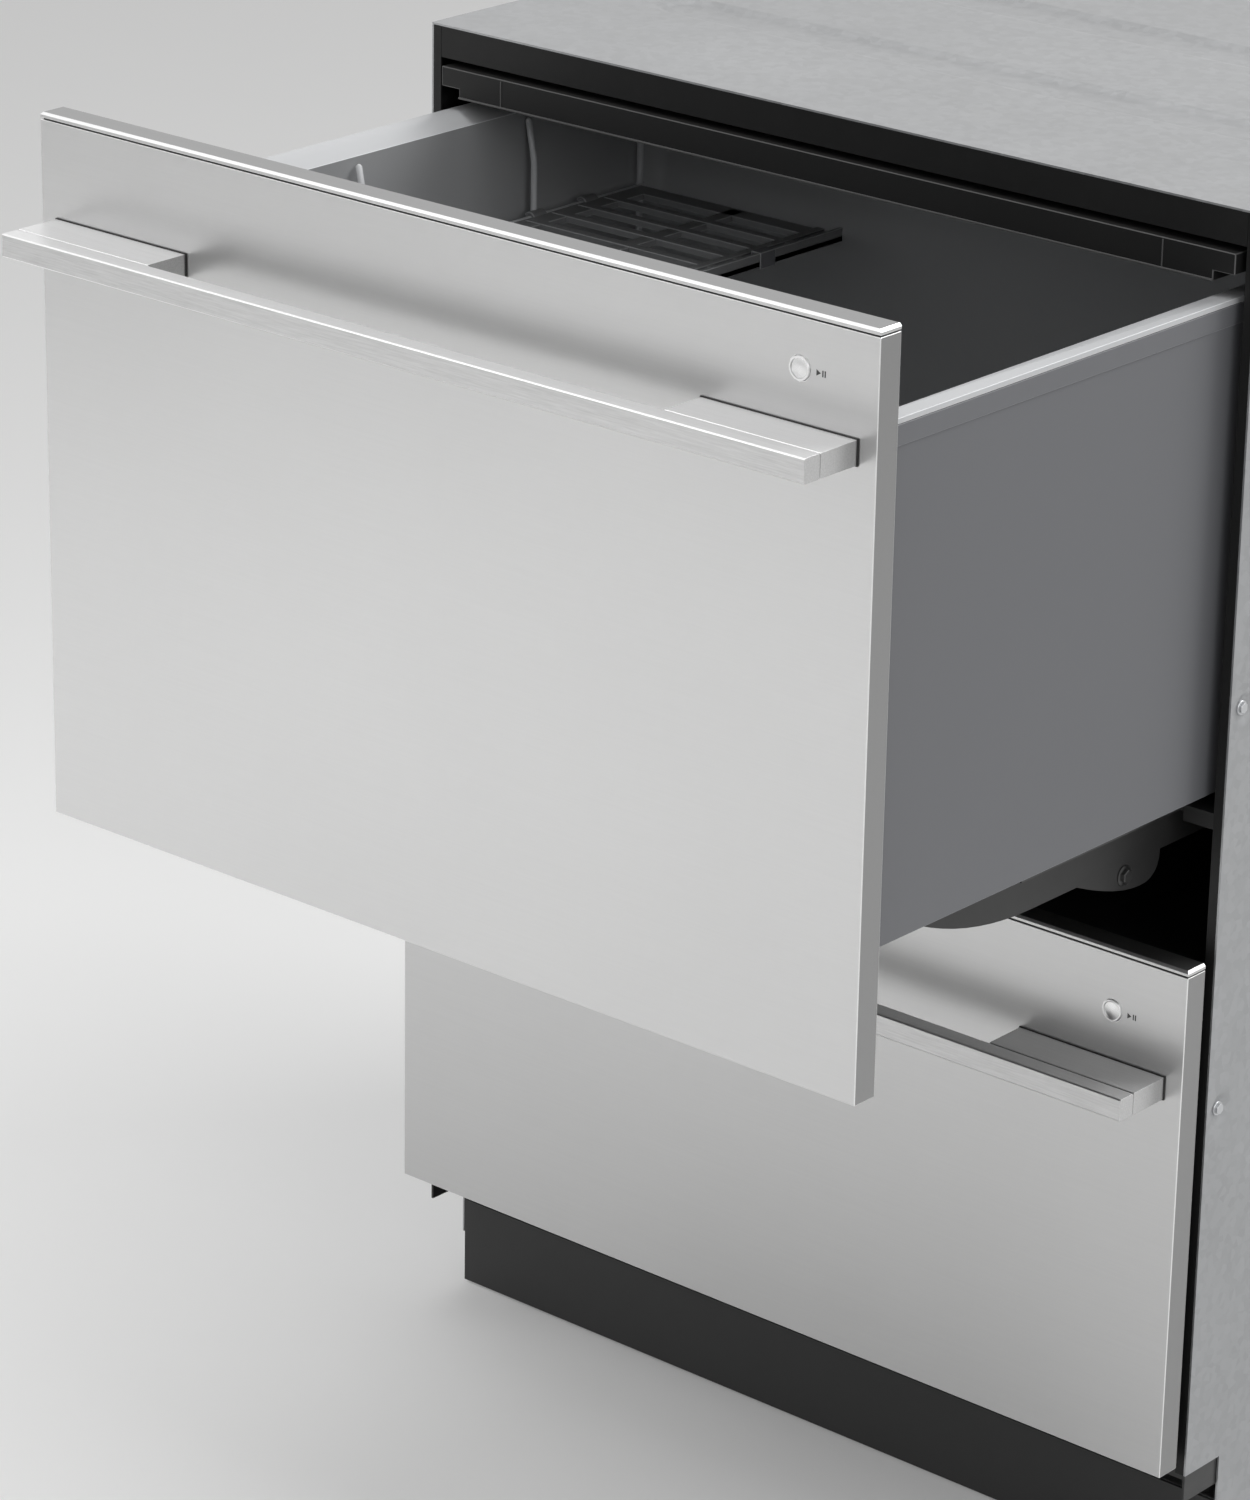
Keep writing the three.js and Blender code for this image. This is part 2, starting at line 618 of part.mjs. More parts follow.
// The mains lead enters here; its gland points to the back.
function powerInlet() {
  const x = chassisHalf - POWER_BOX_FROM_RIGHT;
  const back = PRODUCT_DEPTH - POWER_BOX_FROM_BACK;
  const bottom = baseTop + SEAT_GAP;
  const levels = [bottom, bottom + POWER_BOX_HEIGHT];
  const body = block([x, x + POWER_BOX_WIDTH], [back - POWER_BOX_DEPTH, back], levels);
  const middle = [x + half(POWER_BOX_WIDTH), bottom + half(POWER_BOX_HEIGHT)];
  return body.add(tubeAlongY(middle, GLAND_RADIUS, back - CUT_OVERRUN, back + GLAND_LENGTH))
    .subtract(tubeAlongY(middle, GLAND_BORE, back, back + GLAND_LENGTH + CUT_OVERRUN));
}

// A round bar along Y about a point in X and Z.
function tubeAlongY([x, z], radius, y0, y1) {
  const shape = new THREE.Shape();
  shape.absarc(x, z, radius, 0, 2 * Math.PI);
  return alongY(shape, y0, y1);
}

// ================================================================ runners
const runnerTop = (drawer) => drawer.underside - RUNNER_DROP;
const runnerLevels = (drawer) => ({ top: runnerTop(drawer), bottom: runnerTop(drawer) - RUNNER_HEIGHT });
const middleRailX = [carrierHalf + SEAT_GAP, carrierHalf + SEAT_GAP + MIDDLE_RAIL_WIDTH];
const runnerY = [runnerStart, runnerStart + RUNNER_LENGTH];

// Two rolled lips of a C-shaped rail, over and under the middle rail.
function lipPair(x, y, { top, bottom }) {
  return [block(x, y, [top - RUNNER_LIP, top]), block(x, y, [bottom, bottom + RUNNER_LIP])];
}

function middleRail(drawer, side) {
  const { top, bottom } = runnerLevels(drawer);
  const inset = RUNNER_LIP + SEAT_GAP;
  return mirrored(block(middleRailX, runnerY, [bottom + inset, top - inset]), side);
}

// The fixed rail is a C that opens inwards, on a folded bracket that reaches the side panel.
function fixedRail(drawer, side) {
  const levels = runnerLevels(drawer);
  const wall = [middleRailX[1] + SEAT_GAP, middleRailX[1] + SEAT_GAP + RUNNER_WALL];
  const reach = chassisInner - SEAT_GAP;
  const web = levels.top - BRACKET_DROP;
  const pieces = [
    ...lipPair([middleRailX[1] - FIXED_LIP_WIDTH, wall[1]], runnerY, levels),
    block(wall, runnerY, [levels.bottom, levels.top]),
    block([wall[0], reach], runnerY, [web - RUNNER_WALL, web]),
    block([reach - RUNNER_WALL, reach], runnerY, [web - BRACKET_FLANGE_HEIGHT, web]),
    block([wall[0], reach], [runnerStart, runnerStart + RUNNER_WALL], [web - BRACKET_HEIGHT, web]),
  ];
  return mirrored(join(pieces), side);
}

// ================================================================ doors
// The outer skin is a shallow steel pan, open at the top and the back.
function doorSkin(drawer) {
  const outer = block([-doorHalf, doorHalf], [0, DOOR_THICKNESS], [drawer.doorBottom, drawer.sheetTop]);
  const inner = block(
    [DOOR_SHEET - doorHalf, doorHalf - DOOR_SHEET],
    [DOOR_SHEET, DOOR_THICKNESS + CUT_OVERRUN],
    [drawer.doorBottom + DOOR_SHEET, drawer.sheetTop + CUT_OVERRUN],
  );
  return cut(outer, [inner, buttonHole(drawer, BUTTON_LENGTH)]);
}

const buttonPlace = (drawer) => [doorHalf - BUTTON_FROM_EDGE, drawer.sheetTop - drawer.buttonDrop];

const buttonHole = (drawer, depth) => tubeAlongY(
  buttonPlace(drawer),
  BUTTON_RADIUS + SEAT_GAP,
  -CUT_OVERRUN,
  depth,
);

function doorLiner(drawer) {
  const inset = DOOR_SHEET + SEAT_GAP;
  const core = block(
    [inset - doorHalf, doorHalf - inset],
    [inset, DOOR_THICKNESS],
    [drawer.doorBottom + inset, drawer.sheetTop + CAP_GROOVE - SEAT_GAP],
  );
  return core.subtract(buttonHole(drawer, BUTTON_LENGTH + BUTTON_TRAVEL + SEAT_GAP));
}

// The cap closes the top of the door and is chamfered along the front and both ends.
function doorCap(drawer) {
  const bottom = drawer.sheetTop + CAP_GROOVE;
  const top = bottom + CAP_HEIGHT;
  const front = alongX(outline([
    [0, bottom], [DOOR_THICKNESS, bottom], [DOOR_THICKNESS, top],
    [CAP_CHAMFER, top], [0, top - CAP_CHAMFER],
  ]), -doorHalf, doorHalf);
  const ends = alongY(outline([
    [-doorHalf, bottom], [doorHalf, bottom], [doorHalf, top - CAP_CHAMFER],
    [doorHalf - CAP_CHAMFER, top], [CAP_CHAMFER - doorHalf, top], [-doorHalf, top - CAP_CHAMFER],
  ]), -CUT_OVERRUN, DOOR_THICKNESS + CUT_OVERRUN);
  return front.intersect(ends);
}

const handleZ = (drawer) => {
  const top = drawer.sheetTop - drawer.handleDrop;
  return [top - HANDLE_HEIGHT, top];
};

// A rectangle in Y and Z with its four corners bevelled.
function bevelledBar([y0, y1], [z0, z1], bevel) {
  return outline([
    [y0 + bevel, z0], [y1 - bevel, z0], [y1, z0 + bevel], [y1, z1 - bevel],
    [y1 - bevel, z1], [y0 + bevel, z1], [y0, z1 - bevel], [y0, z0 + bevel],
  ]);
}

function handleBar(drawer) {
  const y = [-HANDLE_REACH, HANDLE_BAR_DEPTH - HANDLE_REACH];
  return alongX(bevelledBar(y, handleZ(drawer), HANDLE_BEVEL), -handleHalf, handleHalf);
}

// The two blocks carry the bar at its ends; between them the fingers go behind it.
function handleBlock(drawer, side) {
  const y = [HANDLE_BAR_DEPTH - HANDLE_REACH + SEAT_GAP, -SEAT_GAP];
  const section = bevelledBar(y, handleZ(drawer), half(HANDLE_BEVEL));
  return mirrored(alongX(section, handleHalf - HANDLE_BLOCK_LENGTH, handleHalf), side);
}

// The button's face is sunk a little inside its ring.
function startButton(drawer) {
  const place = buttonPlace(drawer);
  const body = tubeAlongY(place, BUTTON_RADIUS, -BUTTON_PROUD, BUTTON_LENGTH - BUTTON_PROUD);
  const sinkBack = BUTTON_RING_DEPTH - BUTTON_PROUD;
  return body.subtract(tubeAlongY(place, BUTTON_FACE_RADIUS, -BUTTON_PROUD - CUT_OVERRUN, sinkBack));
}

// ================================================================ tub
function tub(drawer) {
  const wall = { x: cavity.x + TUB_WALL, front: cavity.front - TUB_WALL, back: cavity.back + TUB_WALL };
  const flangeBottom = drawer.rim - RIM_THICKNESS;
  const collarBottom = flangeBottom - COLLAR_HEIGHT;
  const grown = (width, radius, z) => (
    ring(wall.x + width, wall.front - width, wall.back + width, radius, z)
  );
  const outside = stack([
    grown(0, TUB_CORNER, drawer.underside),
    grown(0, TUB_CORNER, collarBottom - COLLAR_TAPER),
    grown(COLLAR_WIDTH, TUB_CORNER, collarBottom),
    grown(COLLAR_WIDTH, TUB_CORNER, flangeBottom),
    ring(rimHalf, rimFront, RIM_BACK, RIM_CORNER, flangeBottom),
    ring(rimHalf, rimFront, RIM_BACK, RIM_CORNER, drawer.rim),
  ]);
  return cut(outside, [cut(tubHollow(drawer), rackLedges(drawer)), sump(drawer)]);
}

function tubHollow(drawer) {
  const { x, front, back } = cavity;
  const grown = (width, radius, z) => ring(x + width, front - width, back + width, radius, z);
  return stack([
    ...range(COVE_STEPS + 1).map((step) => {
      const angle = QUARTER_TURN * (step / COVE_STEPS);
      const inset = TUB_COVE * (1 - Math.sin(angle));
      return grown(-inset, TUB_CORNER - inset, drawer.floor + TUB_COVE * (1 - Math.cos(angle)));
    }),
    grown(0, TUB_CORNER, drawer.rim - RIM_SLOPE_DROP),
    grown(RIM_SLOPE_WIDTH, RIM_CORNER, drawer.rim),
    grown(RIM_SLOPE_WIDTH, RIM_CORNER, drawer.rim + CUT_OVERRUN),
  ]);
}

// The wire rack rests on a ledge in each corner of the tub.
function rackLedges(drawer) {
  const top = rackLevels(drawer).base - WIRE_RADIUS - SEAT_GAP;
  const levels = [drawer.floor - CUT_OVERRUN, top];
  const places = [
    [cavity.front - CUT_OVERRUN, cavity.front + LEDGE_WIDTH],
    [cavity.back - LEDGE_WIDTH, cavity.back + CUT_OVERRUN],
  ];
  return places.flatMap((y) => [1, -1].map((side) => (
    mirrored(block([cavity.x - LEDGE_WIDTH, cavity.x + CUT_OVERRUN], y, levels), side)
  )));
}

const filterSeat = (drawer) => drawer.floor - TUB_SLOPE - FILTER_SEAT_DEPTH;

// The floor falls to a round seat for the filter, with the sump under it.
function sump(drawer) {
  const seat = filterSeat(drawer);
  return turned([
    [0, seat - SUMP_DEPTH], [FILTER_RADIUS - FILTER_SEAT_WIDTH, seat - SUMP_DEPTH],
    [FILTER_RADIUS - FILTER_SEAT_WIDTH, seat], [FILTER_RADIUS, seat],
    [FILTER_RADIUS, drawer.floor - TUB_SLOPE], [BOWL_RADIUS, drawer.floor],
    [BOWL_RADIUS, drawer.floor + CUT_OVERRUN], [0, drawer.floor + CUT_OVERRUN],
  ], 0, tubMiddle);
}

// The side cladding covers the insulation: a panel with a proud band along the top.
function sideCladding(drawer, side) {
  const top = drawer.rim - RIM_THICKNESS - SEAT_GAP;
  const wallFace = cavity.x + TUB_WALL;
  const y = [rimFront, RIM_BACK];
  const inner = claddingFace - CLADDING_THICKNESS;
  const pieces = [
    block([inner, claddingFace], y, [drawer.underside, top]),
    block([inner, rimHalf], y, [top - CLADDING_BAND_HEIGHT, top]),
    block([wallFace + COLLAR_WIDTH + SEAT_GAP, claddingFace], y, [top - CLADDING_RETURN, top]),
    block([wallFace + SEAT_GAP, claddingFace], y, [drawer.underside, drawer.underside + CLADDING_RETURN]),
  ];
  return mirrored(join(pieces), side);
}

// ================================================================ carrier
// The outline of the carrier in Y and Z, drawn in from its outer face by a wall.
function carrierOutline(drawer, wall, top) {
  const bottom = drawer.underside - SEAT_GAP - CARRIER_HEIGHT;
  const radius = CARRIER_FRONT_RADIUS - wall;
  const centre = bottom + CARRIER_FRONT_RADIUS;
  const sweep = Math.acos((centre - top) / radius);
  const shape = new THREE.Shape();
  shape.moveTo(CARRIER_BACK - wall, top);
  shape.lineTo(CARRIER_BACK - wall, bottom + wall);
  shape.absarc(CARRIER_FRONT_FLAT, centre, radius, -QUARTER_TURN, -QUARTER_TURN - sweep, true);
  return shape;
}

function hoseLug(drawer) {
  const bottom = drawer.underside - SEAT_GAP - CARRIER_HEIGHT;
  const back = LUG_START + LUG_LENGTH;
  const tip = bottom - drawer.lugDrop;
  const shape = new THREE.Shape();
  shape.moveTo(back, bottom + CARRIER_WALL);
  shape.lineTo(LUG_START, bottom + CARRIER_WALL);
  shape.lineTo(LUG_START, bottom);
  shape.quadraticCurveTo(half(LUG_START + back), tip, back - drawer.lugDrop, tip);
  shape.quadraticCurveTo(back, tip, back, bottom);
  return alongX(shape, carrierHalf - LUG_THICKNESS, carrierHalf);
}

// A moulded tray under the tub; the runners' drawer lips are part of its sides.
function carrier(drawer) {
  const top = drawer.underside - SEAT_GAP;
  const inner = carrierHalf - CARRIER_WALL;
  const shell = alongX(carrierOutline(drawer, 0, top), -carrierHalf, carrierHalf)
    .subtract(alongX(carrierOutline(drawer, CARRIER_WALL, top + CUT_OVERRUN), -inner, inner));
  const motorHole = disc(
    MOTOR_HOLE_RADIUS,
    top - CARRIER_HEIGHT - CUT_OVERRUN,
    top - half(CARRIER_HEIGHT),
    0,
    tubMiddle,
  );
  const lips = lipPair(
    [inner, carrierHalf + DRAWER_LIP_WIDTH],
    [DRAWER_LIP_START, CARRIER_BACK],
    runnerLevels(drawer),
  );
  const rightSide = [...lips, hoseLug(drawer)];
  const leftSide = rightSide.map((solid) => mirrored(solid, -1));
  return join([shell.subtract(motorHole), ...rightSide, ...leftSide]);
}

// ================================================================ wash system
function washMotor(drawer) {
  const top = drawer.underside - SEAT_GAP;
  const canTop = top - MOTOR_NECK_HEIGHT;
  const canBottom = canTop - MOTOR_CAN_HEIGHT;
  return turned([
    [0, canBottom - MOTOR_BOSS_HEIGHT], [MOTOR_BOSS_RADIUS, canBottom - MOTOR_BOSS_HEIGHT],
    [MOTOR_BOSS_RADIUS, canBottom], [MOTOR_RADIUS, canBottom], [MOTOR_RADIUS, canTop],
    [MOTOR_NECK_RADIUS, canTop], [MOTOR_NECK_RADIUS, top], [0, top],
  ], 0, tubMiddle);
}

const filterTop = (drawer) => filterSeat(drawer) + SEAT_GAP + FILTER_THICKNESS;

// The filter plate carries the spindle of the spray arm and a round lift-out strainer.
function filterPlate(drawer) {
  const bottom = filterSeat(drawer) + SEAT_GAP;
  const top = filterTop(drawer);
  const bossTop = top + SPINDLE_BOSS_HEIGHT;
  const plate = turned([
    [0, bottom], [FILTER_RADIUS - SEAT_GAP, bottom], [FILTER_RADIUS - SEAT_GAP, top],
    [SPINDLE_BOSS_RADIUS + SPINDLE_BOSS_HEIGHT, top], [SPINDLE_BOSS_RADIUS, bossTop],
    [SPINDLE_RADIUS, bossTop], [SPINDLE_RADIUS, bossTop + SPINDLE_HEIGHT], [0, bossTop + SPINDLE_HEIGHT],
  ], 0, tubMiddle);
  const strainer = disc(
    FILTER_CUP_RADIUS,
    half(bottom + top),
    top + FILTER_CUP_HEIGHT,
    FILTER_CUP_OFFSET,
    tubMiddle,
  );
  return plate.add(strainer);
}

// One blade of the spray arm, tapering from root to tip, with its row of jets.
function sprayBlade(bottom, side) {
  const shape = new THREE.Shape();
  const tip = half(SPRAY_ARM_TIP);
  shape.moveTo(0, -half(SPRAY_ARM_ROOT));
  shape.lineTo(SPRAY_ARM_REACH - tip, -tip);
  shape.absarc(SPRAY_ARM_REACH - tip, 0, tip, -QUARTER_TURN, QUARTER_TURN);
  shape.lineTo(0, half(SPRAY_ARM_ROOT));
  const top = bottom + SPRAY_ARM_THICKNESS;
  const blade = alongZ(shape, bottom, top);
  const jetBottom = top - SPRAY_JET_DEPTH;
  const jetTop = top + CUT_OVERRUN;
  const jets = SPRAY_JETS.map((x) => disc(SPRAY_JET_RADIUS, jetBottom, jetTop, x, 0, JET_SIDES));
  return mirrored(cut(blade, jets), side);
}

function sprayArm(drawer) {
  const bottom = filterTop(drawer) + SPINDLE_BOSS_HEIGHT + SEAT_GAP;
  const top = bottom + SPRAY_HUB_HEIGHT;
  const bladeBottom = bottom + SPRAY_ARM_LIFT;
  const hub = disc(SPRAY_HUB_RADIUS, bottom, top, 0, 0);
  const bore = disc(
    SPINDLE_RADIUS + SEAT_GAP,
    bottom - CUT_OVERRUN,
    top - SPRAY_CAP_THICKNESS,
    0,
    0,
  );
  return join([hub, sprayBlade(bladeBottom, 1), sprayBlade(bladeBottom, -1)])
    .subtract(bore)
    .translate([0, tubMiddle, 0]);
}

// ================================================================ racks
const rackX = cavity.x - RACK_INSET;
const rackY = [cavity.front + RACK_INSET, cavity.back - RACK_INSET];
const tallWiresY = TALL_WIRES_FROM_BACK.map((fromBack) => rackY[1] - fromBack);
const rackLevels = (drawer) => {
  const base = drawer.floor + RACK_LIFT;
  const cross = base + 2 * WIRE_RADIUS - WIRE_WELD;
  return { base, cross, rail: base + RACK_RAIL_LIFT, gridTop: cross + WIRE_RADIUS };
};

// A rectangle of wire at one level; its wires run past the corners by a wire's radius.
function wireLoop(z) {
  const [front, back] = rackY;
  const over = WIRE_RADIUS;
  return [
    wire([-rackX - over, front, z], [rackX + over, front, z]),
    wire([-rackX - over, back, z], [rackX + over, back, z]),
    wire([-rackX, front - over, z], [-rackX, back + over, z]),
    wire([rackX, front - over, z], [rackX, back + over, z]),
  ];
}

function rackGrid({ base, cross }) {
  const [front, back] = rackY;
  const longWires = RACK_LONG_WIRES.map((x) => wire([x, front, base], [x, back, base]));
  const pitch = (back - front) / (RACK_CROSS_WIRES + 1);
  const crossWires = range(RACK_CROSS_WIRES).map((index) => {
    const y = front + pitch * (index + 1);
    return wire([-rackX, y, cross], [rackX, y, cross]);
  });
  return [...longWires, ...crossWires];
}

// Short posts join the two loops along each long side.
function rackPosts({ base, rail }) {
  const [front, back] = rackY;
  const pitch = (back - front) / (RACK_POST_COUNT - 1);
  return [-rackX, rackX].flatMap((x) => range(RACK_POST_COUNT).map((index) => {
    const y = front + pitch * index;
    return wire([x, y, base], [x, y, rail]);
  }));
}

// Tall wires on the left rise almost to the rim and lean out to the wall near their tops.
function tallWires(drawer, { base }) {
  const knee = drawer.rim - TALL_WIRE_KNEE_DROP;
  const top = drawer.rim - TALL_WIRE_TOP_DROP;
  const x = -rackX - TALL_WIRE_OUTSET;
  return tallWiresY.flatMap((y) => [
    wire([x, y, base - WIRE_RADIUS], [x, y, knee + WIRE_WELD]),
    wire([x, y, knee], [x - TALL_WIRE_LEAN, y, top]),
  ]);
}

const tinePlaces = range(TINE_COUNT).map((index) => rackY[0] + TINE_START + TINE_PITCH * index);

function tineRow(x, from, to) {
  return tinePlaces.map((y) => wire([x, y, from], [x, y, to], TINE_RADIUS, TINE_SIDES));
}

const foldAxis = (drawer) => rackLevels(drawer).gridTop + FOLD_CLIP_WALL + WIRE_RADIUS;

// Small clips on the grid hold the pivot wire of the folding tines.
function foldClips(drawer) {
  const { base } = rackLevels(drawer);
  const axis = foldAxis(drawer);
  const bore = WIRE_RADIUS + SEAT_GAP;
  const reach = bore + FOLD_CLIP_WALL;
  const middles = [tinePlaces[0], tinePlaces[TINE_COUNT - 2]].map((y) => y + half(TINE_PITCH));
  return middles.map((middle) => {
    const y = [middle - half(FOLD_CLIP_LENGTH), middle + half(FOLD_CLIP_LENGTH)];
    const body = block([FOLD_ROW_X - reach, FOLD_ROW_X + reach], y, [base, axis + reach]);
    return body.subtract(tubeAlongY([FOLD_ROW_X, axis], bore, y[0] - CUT_OVERRUN, y[1] + CUT_OVERRUN));
  });
}

// The clips stand on one more long wire of the grid.
function foldRail(drawer) {
  const { base } = rackLevels(drawer);
  return wire([FOLD_ROW_X, rackY[0], base], [FOLD_ROW_X, rackY[1], base]);
}

const cupHinge = (drawer) => ({
  x: HINGE_WIRE_INSET - rackX - TALL_WIRE_OUTSET,
  z: drawer.rim - CUP_RACK_DROP,
});

// The wire that the cup rack hangs on runs between the tall wires on the left.
function hingeWire(drawer) {
  const { x, z } = cupHinge(drawer);
  const over = WIRE_RADIUS;
  return wire([x, Math.min(...tallWiresY) - over, z], [x, Math.max(...tallWiresY) + over, z]);
}

// The welded wire rack that both drawers share, with rows of upright tines at the given places.
function baseRack(drawer, tineRows) {
  const levels = rackLevels(drawer);
  return join([
    ...wireLoop(levels.base),
    ...wireLoop(levels.rail),
    ...rackGrid(levels),
    ...rackPosts(levels),
    ...tineRows.flatMap((x) => tineRow(x, levels.base, levels.cross + TINE_HEIGHT)),
  ]);
}

// The upper rack also holds the folding tines and the hinge wire of the cup rack.
const upperRack = () => join([
  baseRack(upper, UPPER_TINE_ROWS),
  foldRail(upper),
  ...foldClips(upper),
  ...tallWires(upper, rackLevels(upper)),
  hingeWire(upper),
]);

// The folding row of tines stands on its own pivot wire.
function foldingTines() {
  const axis = foldAxis(upper);
  const pivot = wire(
    [FOLD_ROW_X, tinePlaces[0] - half(TINE_PITCH), axis],
    [FOLD_ROW_X, tinePlaces[TINE_COUNT - 1] + half(TINE_PITCH), axis],
  );
  return join([pivot, ...tineRow(FOLD_ROW_X, axis, axis + TINE_HEIGHT)]);
}

// The openings between the bars of the cup rack, in two columns.
function cupRackSlots([x0, x1], [y0, y1], z) {
  const middle = half(x0 + x1);
  const columns = [
    [x0 + CUP_RACK_BORDER, middle - half(CUP_RACK_SPINE)],
    [middle + half(CUP_RACK_SPINE), x1 - CUP_RACK_BORDER],
  ];
  const free = y1 - y0 - 2 * CUP_RACK_BORDER + CUP_RACK_BAR;
  const pitch = free / CUP_RACK_SLOTS;
  return columns.flatMap((x) => range(CUP_RACK_SLOTS).map((index) => {
    const start = y0 + CUP_RACK_BORDER + pitch * index;
    return block(x, [start, start + pitch - CUP_RACK_BAR], [z[0] - CUT_OVERRUN, z[1] + CUT_OVERRUN]);
  }));
}

// Round clips that snap over the hinge wire, in the stretches between the tall wires.
function cupRackClips(hinge) {
  const stretches = [[tallWiresY[1], tallWiresY[0]], [tallWiresY[2], tallWiresY[1]]];
  return stretches.flatMap(([start, end]) => range(CUP_RACK_CLIPS).map((index) => {
    const middle = start + (end - start) * ((index + 1) / (CUP_RACK_CLIPS + 1));
    const y = [middle - half(CUP_RACK_CLIP_LENGTH), middle + half(CUP_RACK_CLIP_LENGTH)];
    return tubeAlongY([hinge.x, hinge.z], CUP_RACK_CLIP_RADIUS, ...y);
  }));
}

function cupRack() {
  const hinge = cupHinge(upper);
  const start = hinge.x + CUP_RACK_CLIP_RADIUS - half(CUP_RACK_THICKNESS);
  const x = [start, start + CUP_RACK_WIDTH];
  const y = [Math.min(...tallWiresY) + CUP_RACK_END_GAP, Math.max(...tallWiresY) - CUP_RACK_END_GAP];
  const z = [hinge.z - half(CUP_RACK_THICKNESS), hinge.z + half(CUP_RACK_THICKNESS)];
  const plate = cut(block(x, y, z), cupRackSlots(x, y, z));
  const rim = block([x[1] - CUP_RACK_RIM_WIDTH, x[1]], y, [z[0], z[1] + CUP_RACK_RIM_HEIGHT]);
  const through = [y[0] - CUT_OVERRUN, y[1] + CUT_OVERRUN];
  const bore = tubeAlongY([hinge.x, hinge.z], WIRE_RADIUS + SEAT_GAP, ...through);
  return join([plate, rim, ...cupRackClips(hinge)]).subtract(bore);
}

// ================================================================ basket and dispenser
function basketSlots(x, y, z) {
  const tall = [z[0] + BASKET_SLOT_MARGIN, z[1] - BASKET_SLOT_MARGIN];
  const through = [y[0] - CUT_OVERRUN, y[1] + CUT_OVERRUN];
  const across = [x[0] - CUT_OVERRUN, x[1] + CUT_OVERRUN];
  const place = ([low, high], count, index) => {
    const middle = low + ((high - low) * (index + 1)) / (count + 1);
    return [middle - half(BASKET_SLOT_WIDTH), middle + half(BASKET_SLOT_WIDTH)];
  };
  return [
    ...range(BASKET_SLOTS).map((index) => block(place(x, BASKET_SLOTS, index), through, tall)),
    ...range(BASKET_END_SLOTS).map((index) => block(across, place(y, BASKET_END_SLOTS, index), tall)),
  ];
}

// The cutlery basket stands on the grid of the rack behind the front wall.
function cutleryBasket() {
  const bottom = rackLevels(upper).gridTop + SEAT_GAP;
  const front = rackY[0] + BASKET_WIRE_GAP;
  const x = [BASKET_LEFT, BASKET_LEFT + BASKET_LENGTH];
  const y = [front, front + BASKET_WIDTH];
  const z = [bottom, bottom + BASKET_HEIGHT];
  const hollow = block(
    [x[0] + BASKET_WALL, x[1] - BASKET_WALL],
    [y[0] + BASKET_WALL, y[1] - BASKET_WALL],
    [z[0] + BASKET_WALL, z[1] + CUT_OVERRUN],
  );
  return cut(block(x, y, z), [hollow, ...basketSlots(x, y, z)]);
}

const dispenser = (() => {
  const top = upper.rim - DISPENSER_DROP;
  const bottom = top - DISPENSER_HEIGHT;
  const back = cavity.front + SEAT_GAP;
  const cupX = [DISPENSER_LEFT + CUP_MARGIN, DISPENSER_LEFT + CUP_MARGIN + CUP_WIDTH];
  const cupZ = [bottom + CUP_MARGIN, bottom + CUP_MARGIN + CUP_HEIGHT];
  return { top, bottom, back, face: back + DISPENSER_DEPTH, cupX, cupZ };
})();

// The dispenser hangs on the inner front wall: a cup for detergent and a rinse-aid cap.
function detergentDispenser() {
  const { top, bottom, back, face, cupX, cupZ } = dispenser;
  const right = DISPENSER_LEFT + DISPENSER_WIDTH;
  const body = alongY(roundedRectangle(DISPENSER_LEFT, right, bottom, top, DISPENSER_CORNER), back, face);
  const cup = block(cupX, [face - CUP_DEPTH, face + CUT_OVERRUN], cupZ);
  const capPlace = [half(cupX[1] + right), half(bottom + top)];
  const cap = tubeAlongY(capPlace, RINSE_CAP_RADIUS, face - CUT_OVERRUN, face + RINSE_CAP_HEIGHT);
  return body.subtract(cup).add(cap);
}

// The lid of the detergent cup is hinged along its lower edge.
function dispenserLid() {
  const { face, cupX, cupZ } = dispenser;
  return alongY(roundedRectangle(
    cupX[0] - LID_PLATE_MARGIN,
    cupX[1] + LID_PLATE_MARGIN,
    cupZ[0] - LID_PLATE_MARGIN,
    cupZ[1] + LID_PLATE_MARGIN,
    LID_PLATE_CORNER,
  ), face + SEAT_GAP, face + SEAT_GAP + LID_PLATE_THICKNESS);
}

// ================================================================ tub lids
// The lid stays in the chassis and is lowered on to the tub; its top is ribbed.
function tubLid(drawer) {
  const slab = block([-lidHalf, lidHalf], [LID_START, LID_BACK], [drawer.lid, drawer.lidTop]);
  const notch = block(
    [lidHalf - LID_EDGE_NOTCH_WIDTH, lidHalf + CUT_OVERRUN],
    [LID_START - CUT_OVERRUN, LID_BACK + CUT_OVERRUN],
    [drawer.lid - CUT_OVERRUN, drawer.lid + LID_EDGE_NOTCH_HEIGHT],
  );
  const left = LID_POCKET_MARGIN - lidHalf;
  const pitch = (-2 * left + LID_RIB_THICKNESS) / (LID_RIB_COUNT + 1);
  const pockets = range(LID_RIB_COUNT + 1).map((index) => block(
    [left + pitch * index, left + pitch * (index + 1) - LID_RIB_THICKNESS],
    [LID_START + LID_POCKET_MARGIN, LID_BACK - LID_POCKET_MARGIN],
    [drawer.lidTop - LID_POCKET_DEPTH, drawer.lidTop + CUT_OVERRUN],
  ));
  return cut(slab, [notch, mirrored(notch, -1), ...pockets]);
}

// The seal hangs under the lid over the inner edge of the rim.
function lidSeal(drawer) {
  const reach = rimHalf - SEAL_INSET;
  const front = rimFront + SEAL_INSET;
  const back = RIM_BACK - SEAL_INSET;
  const shape = roundedRectangle(-reach, reach, front, back, SEAL_CORNER);
  shape.holes.push(roundedRectangle(
    SEAL_WIDTH - reach,
    reach - SEAL_WIDTH,
    front + SEAL_WIDTH,
    back - SEAL_WIDTH,
    SEAL_CORNER - SEAL_WIDTH,
  ));
  return alongZ(shape, drawer.lid - SEAL_DROP, drawer.lid - SEAT_GAP);
}

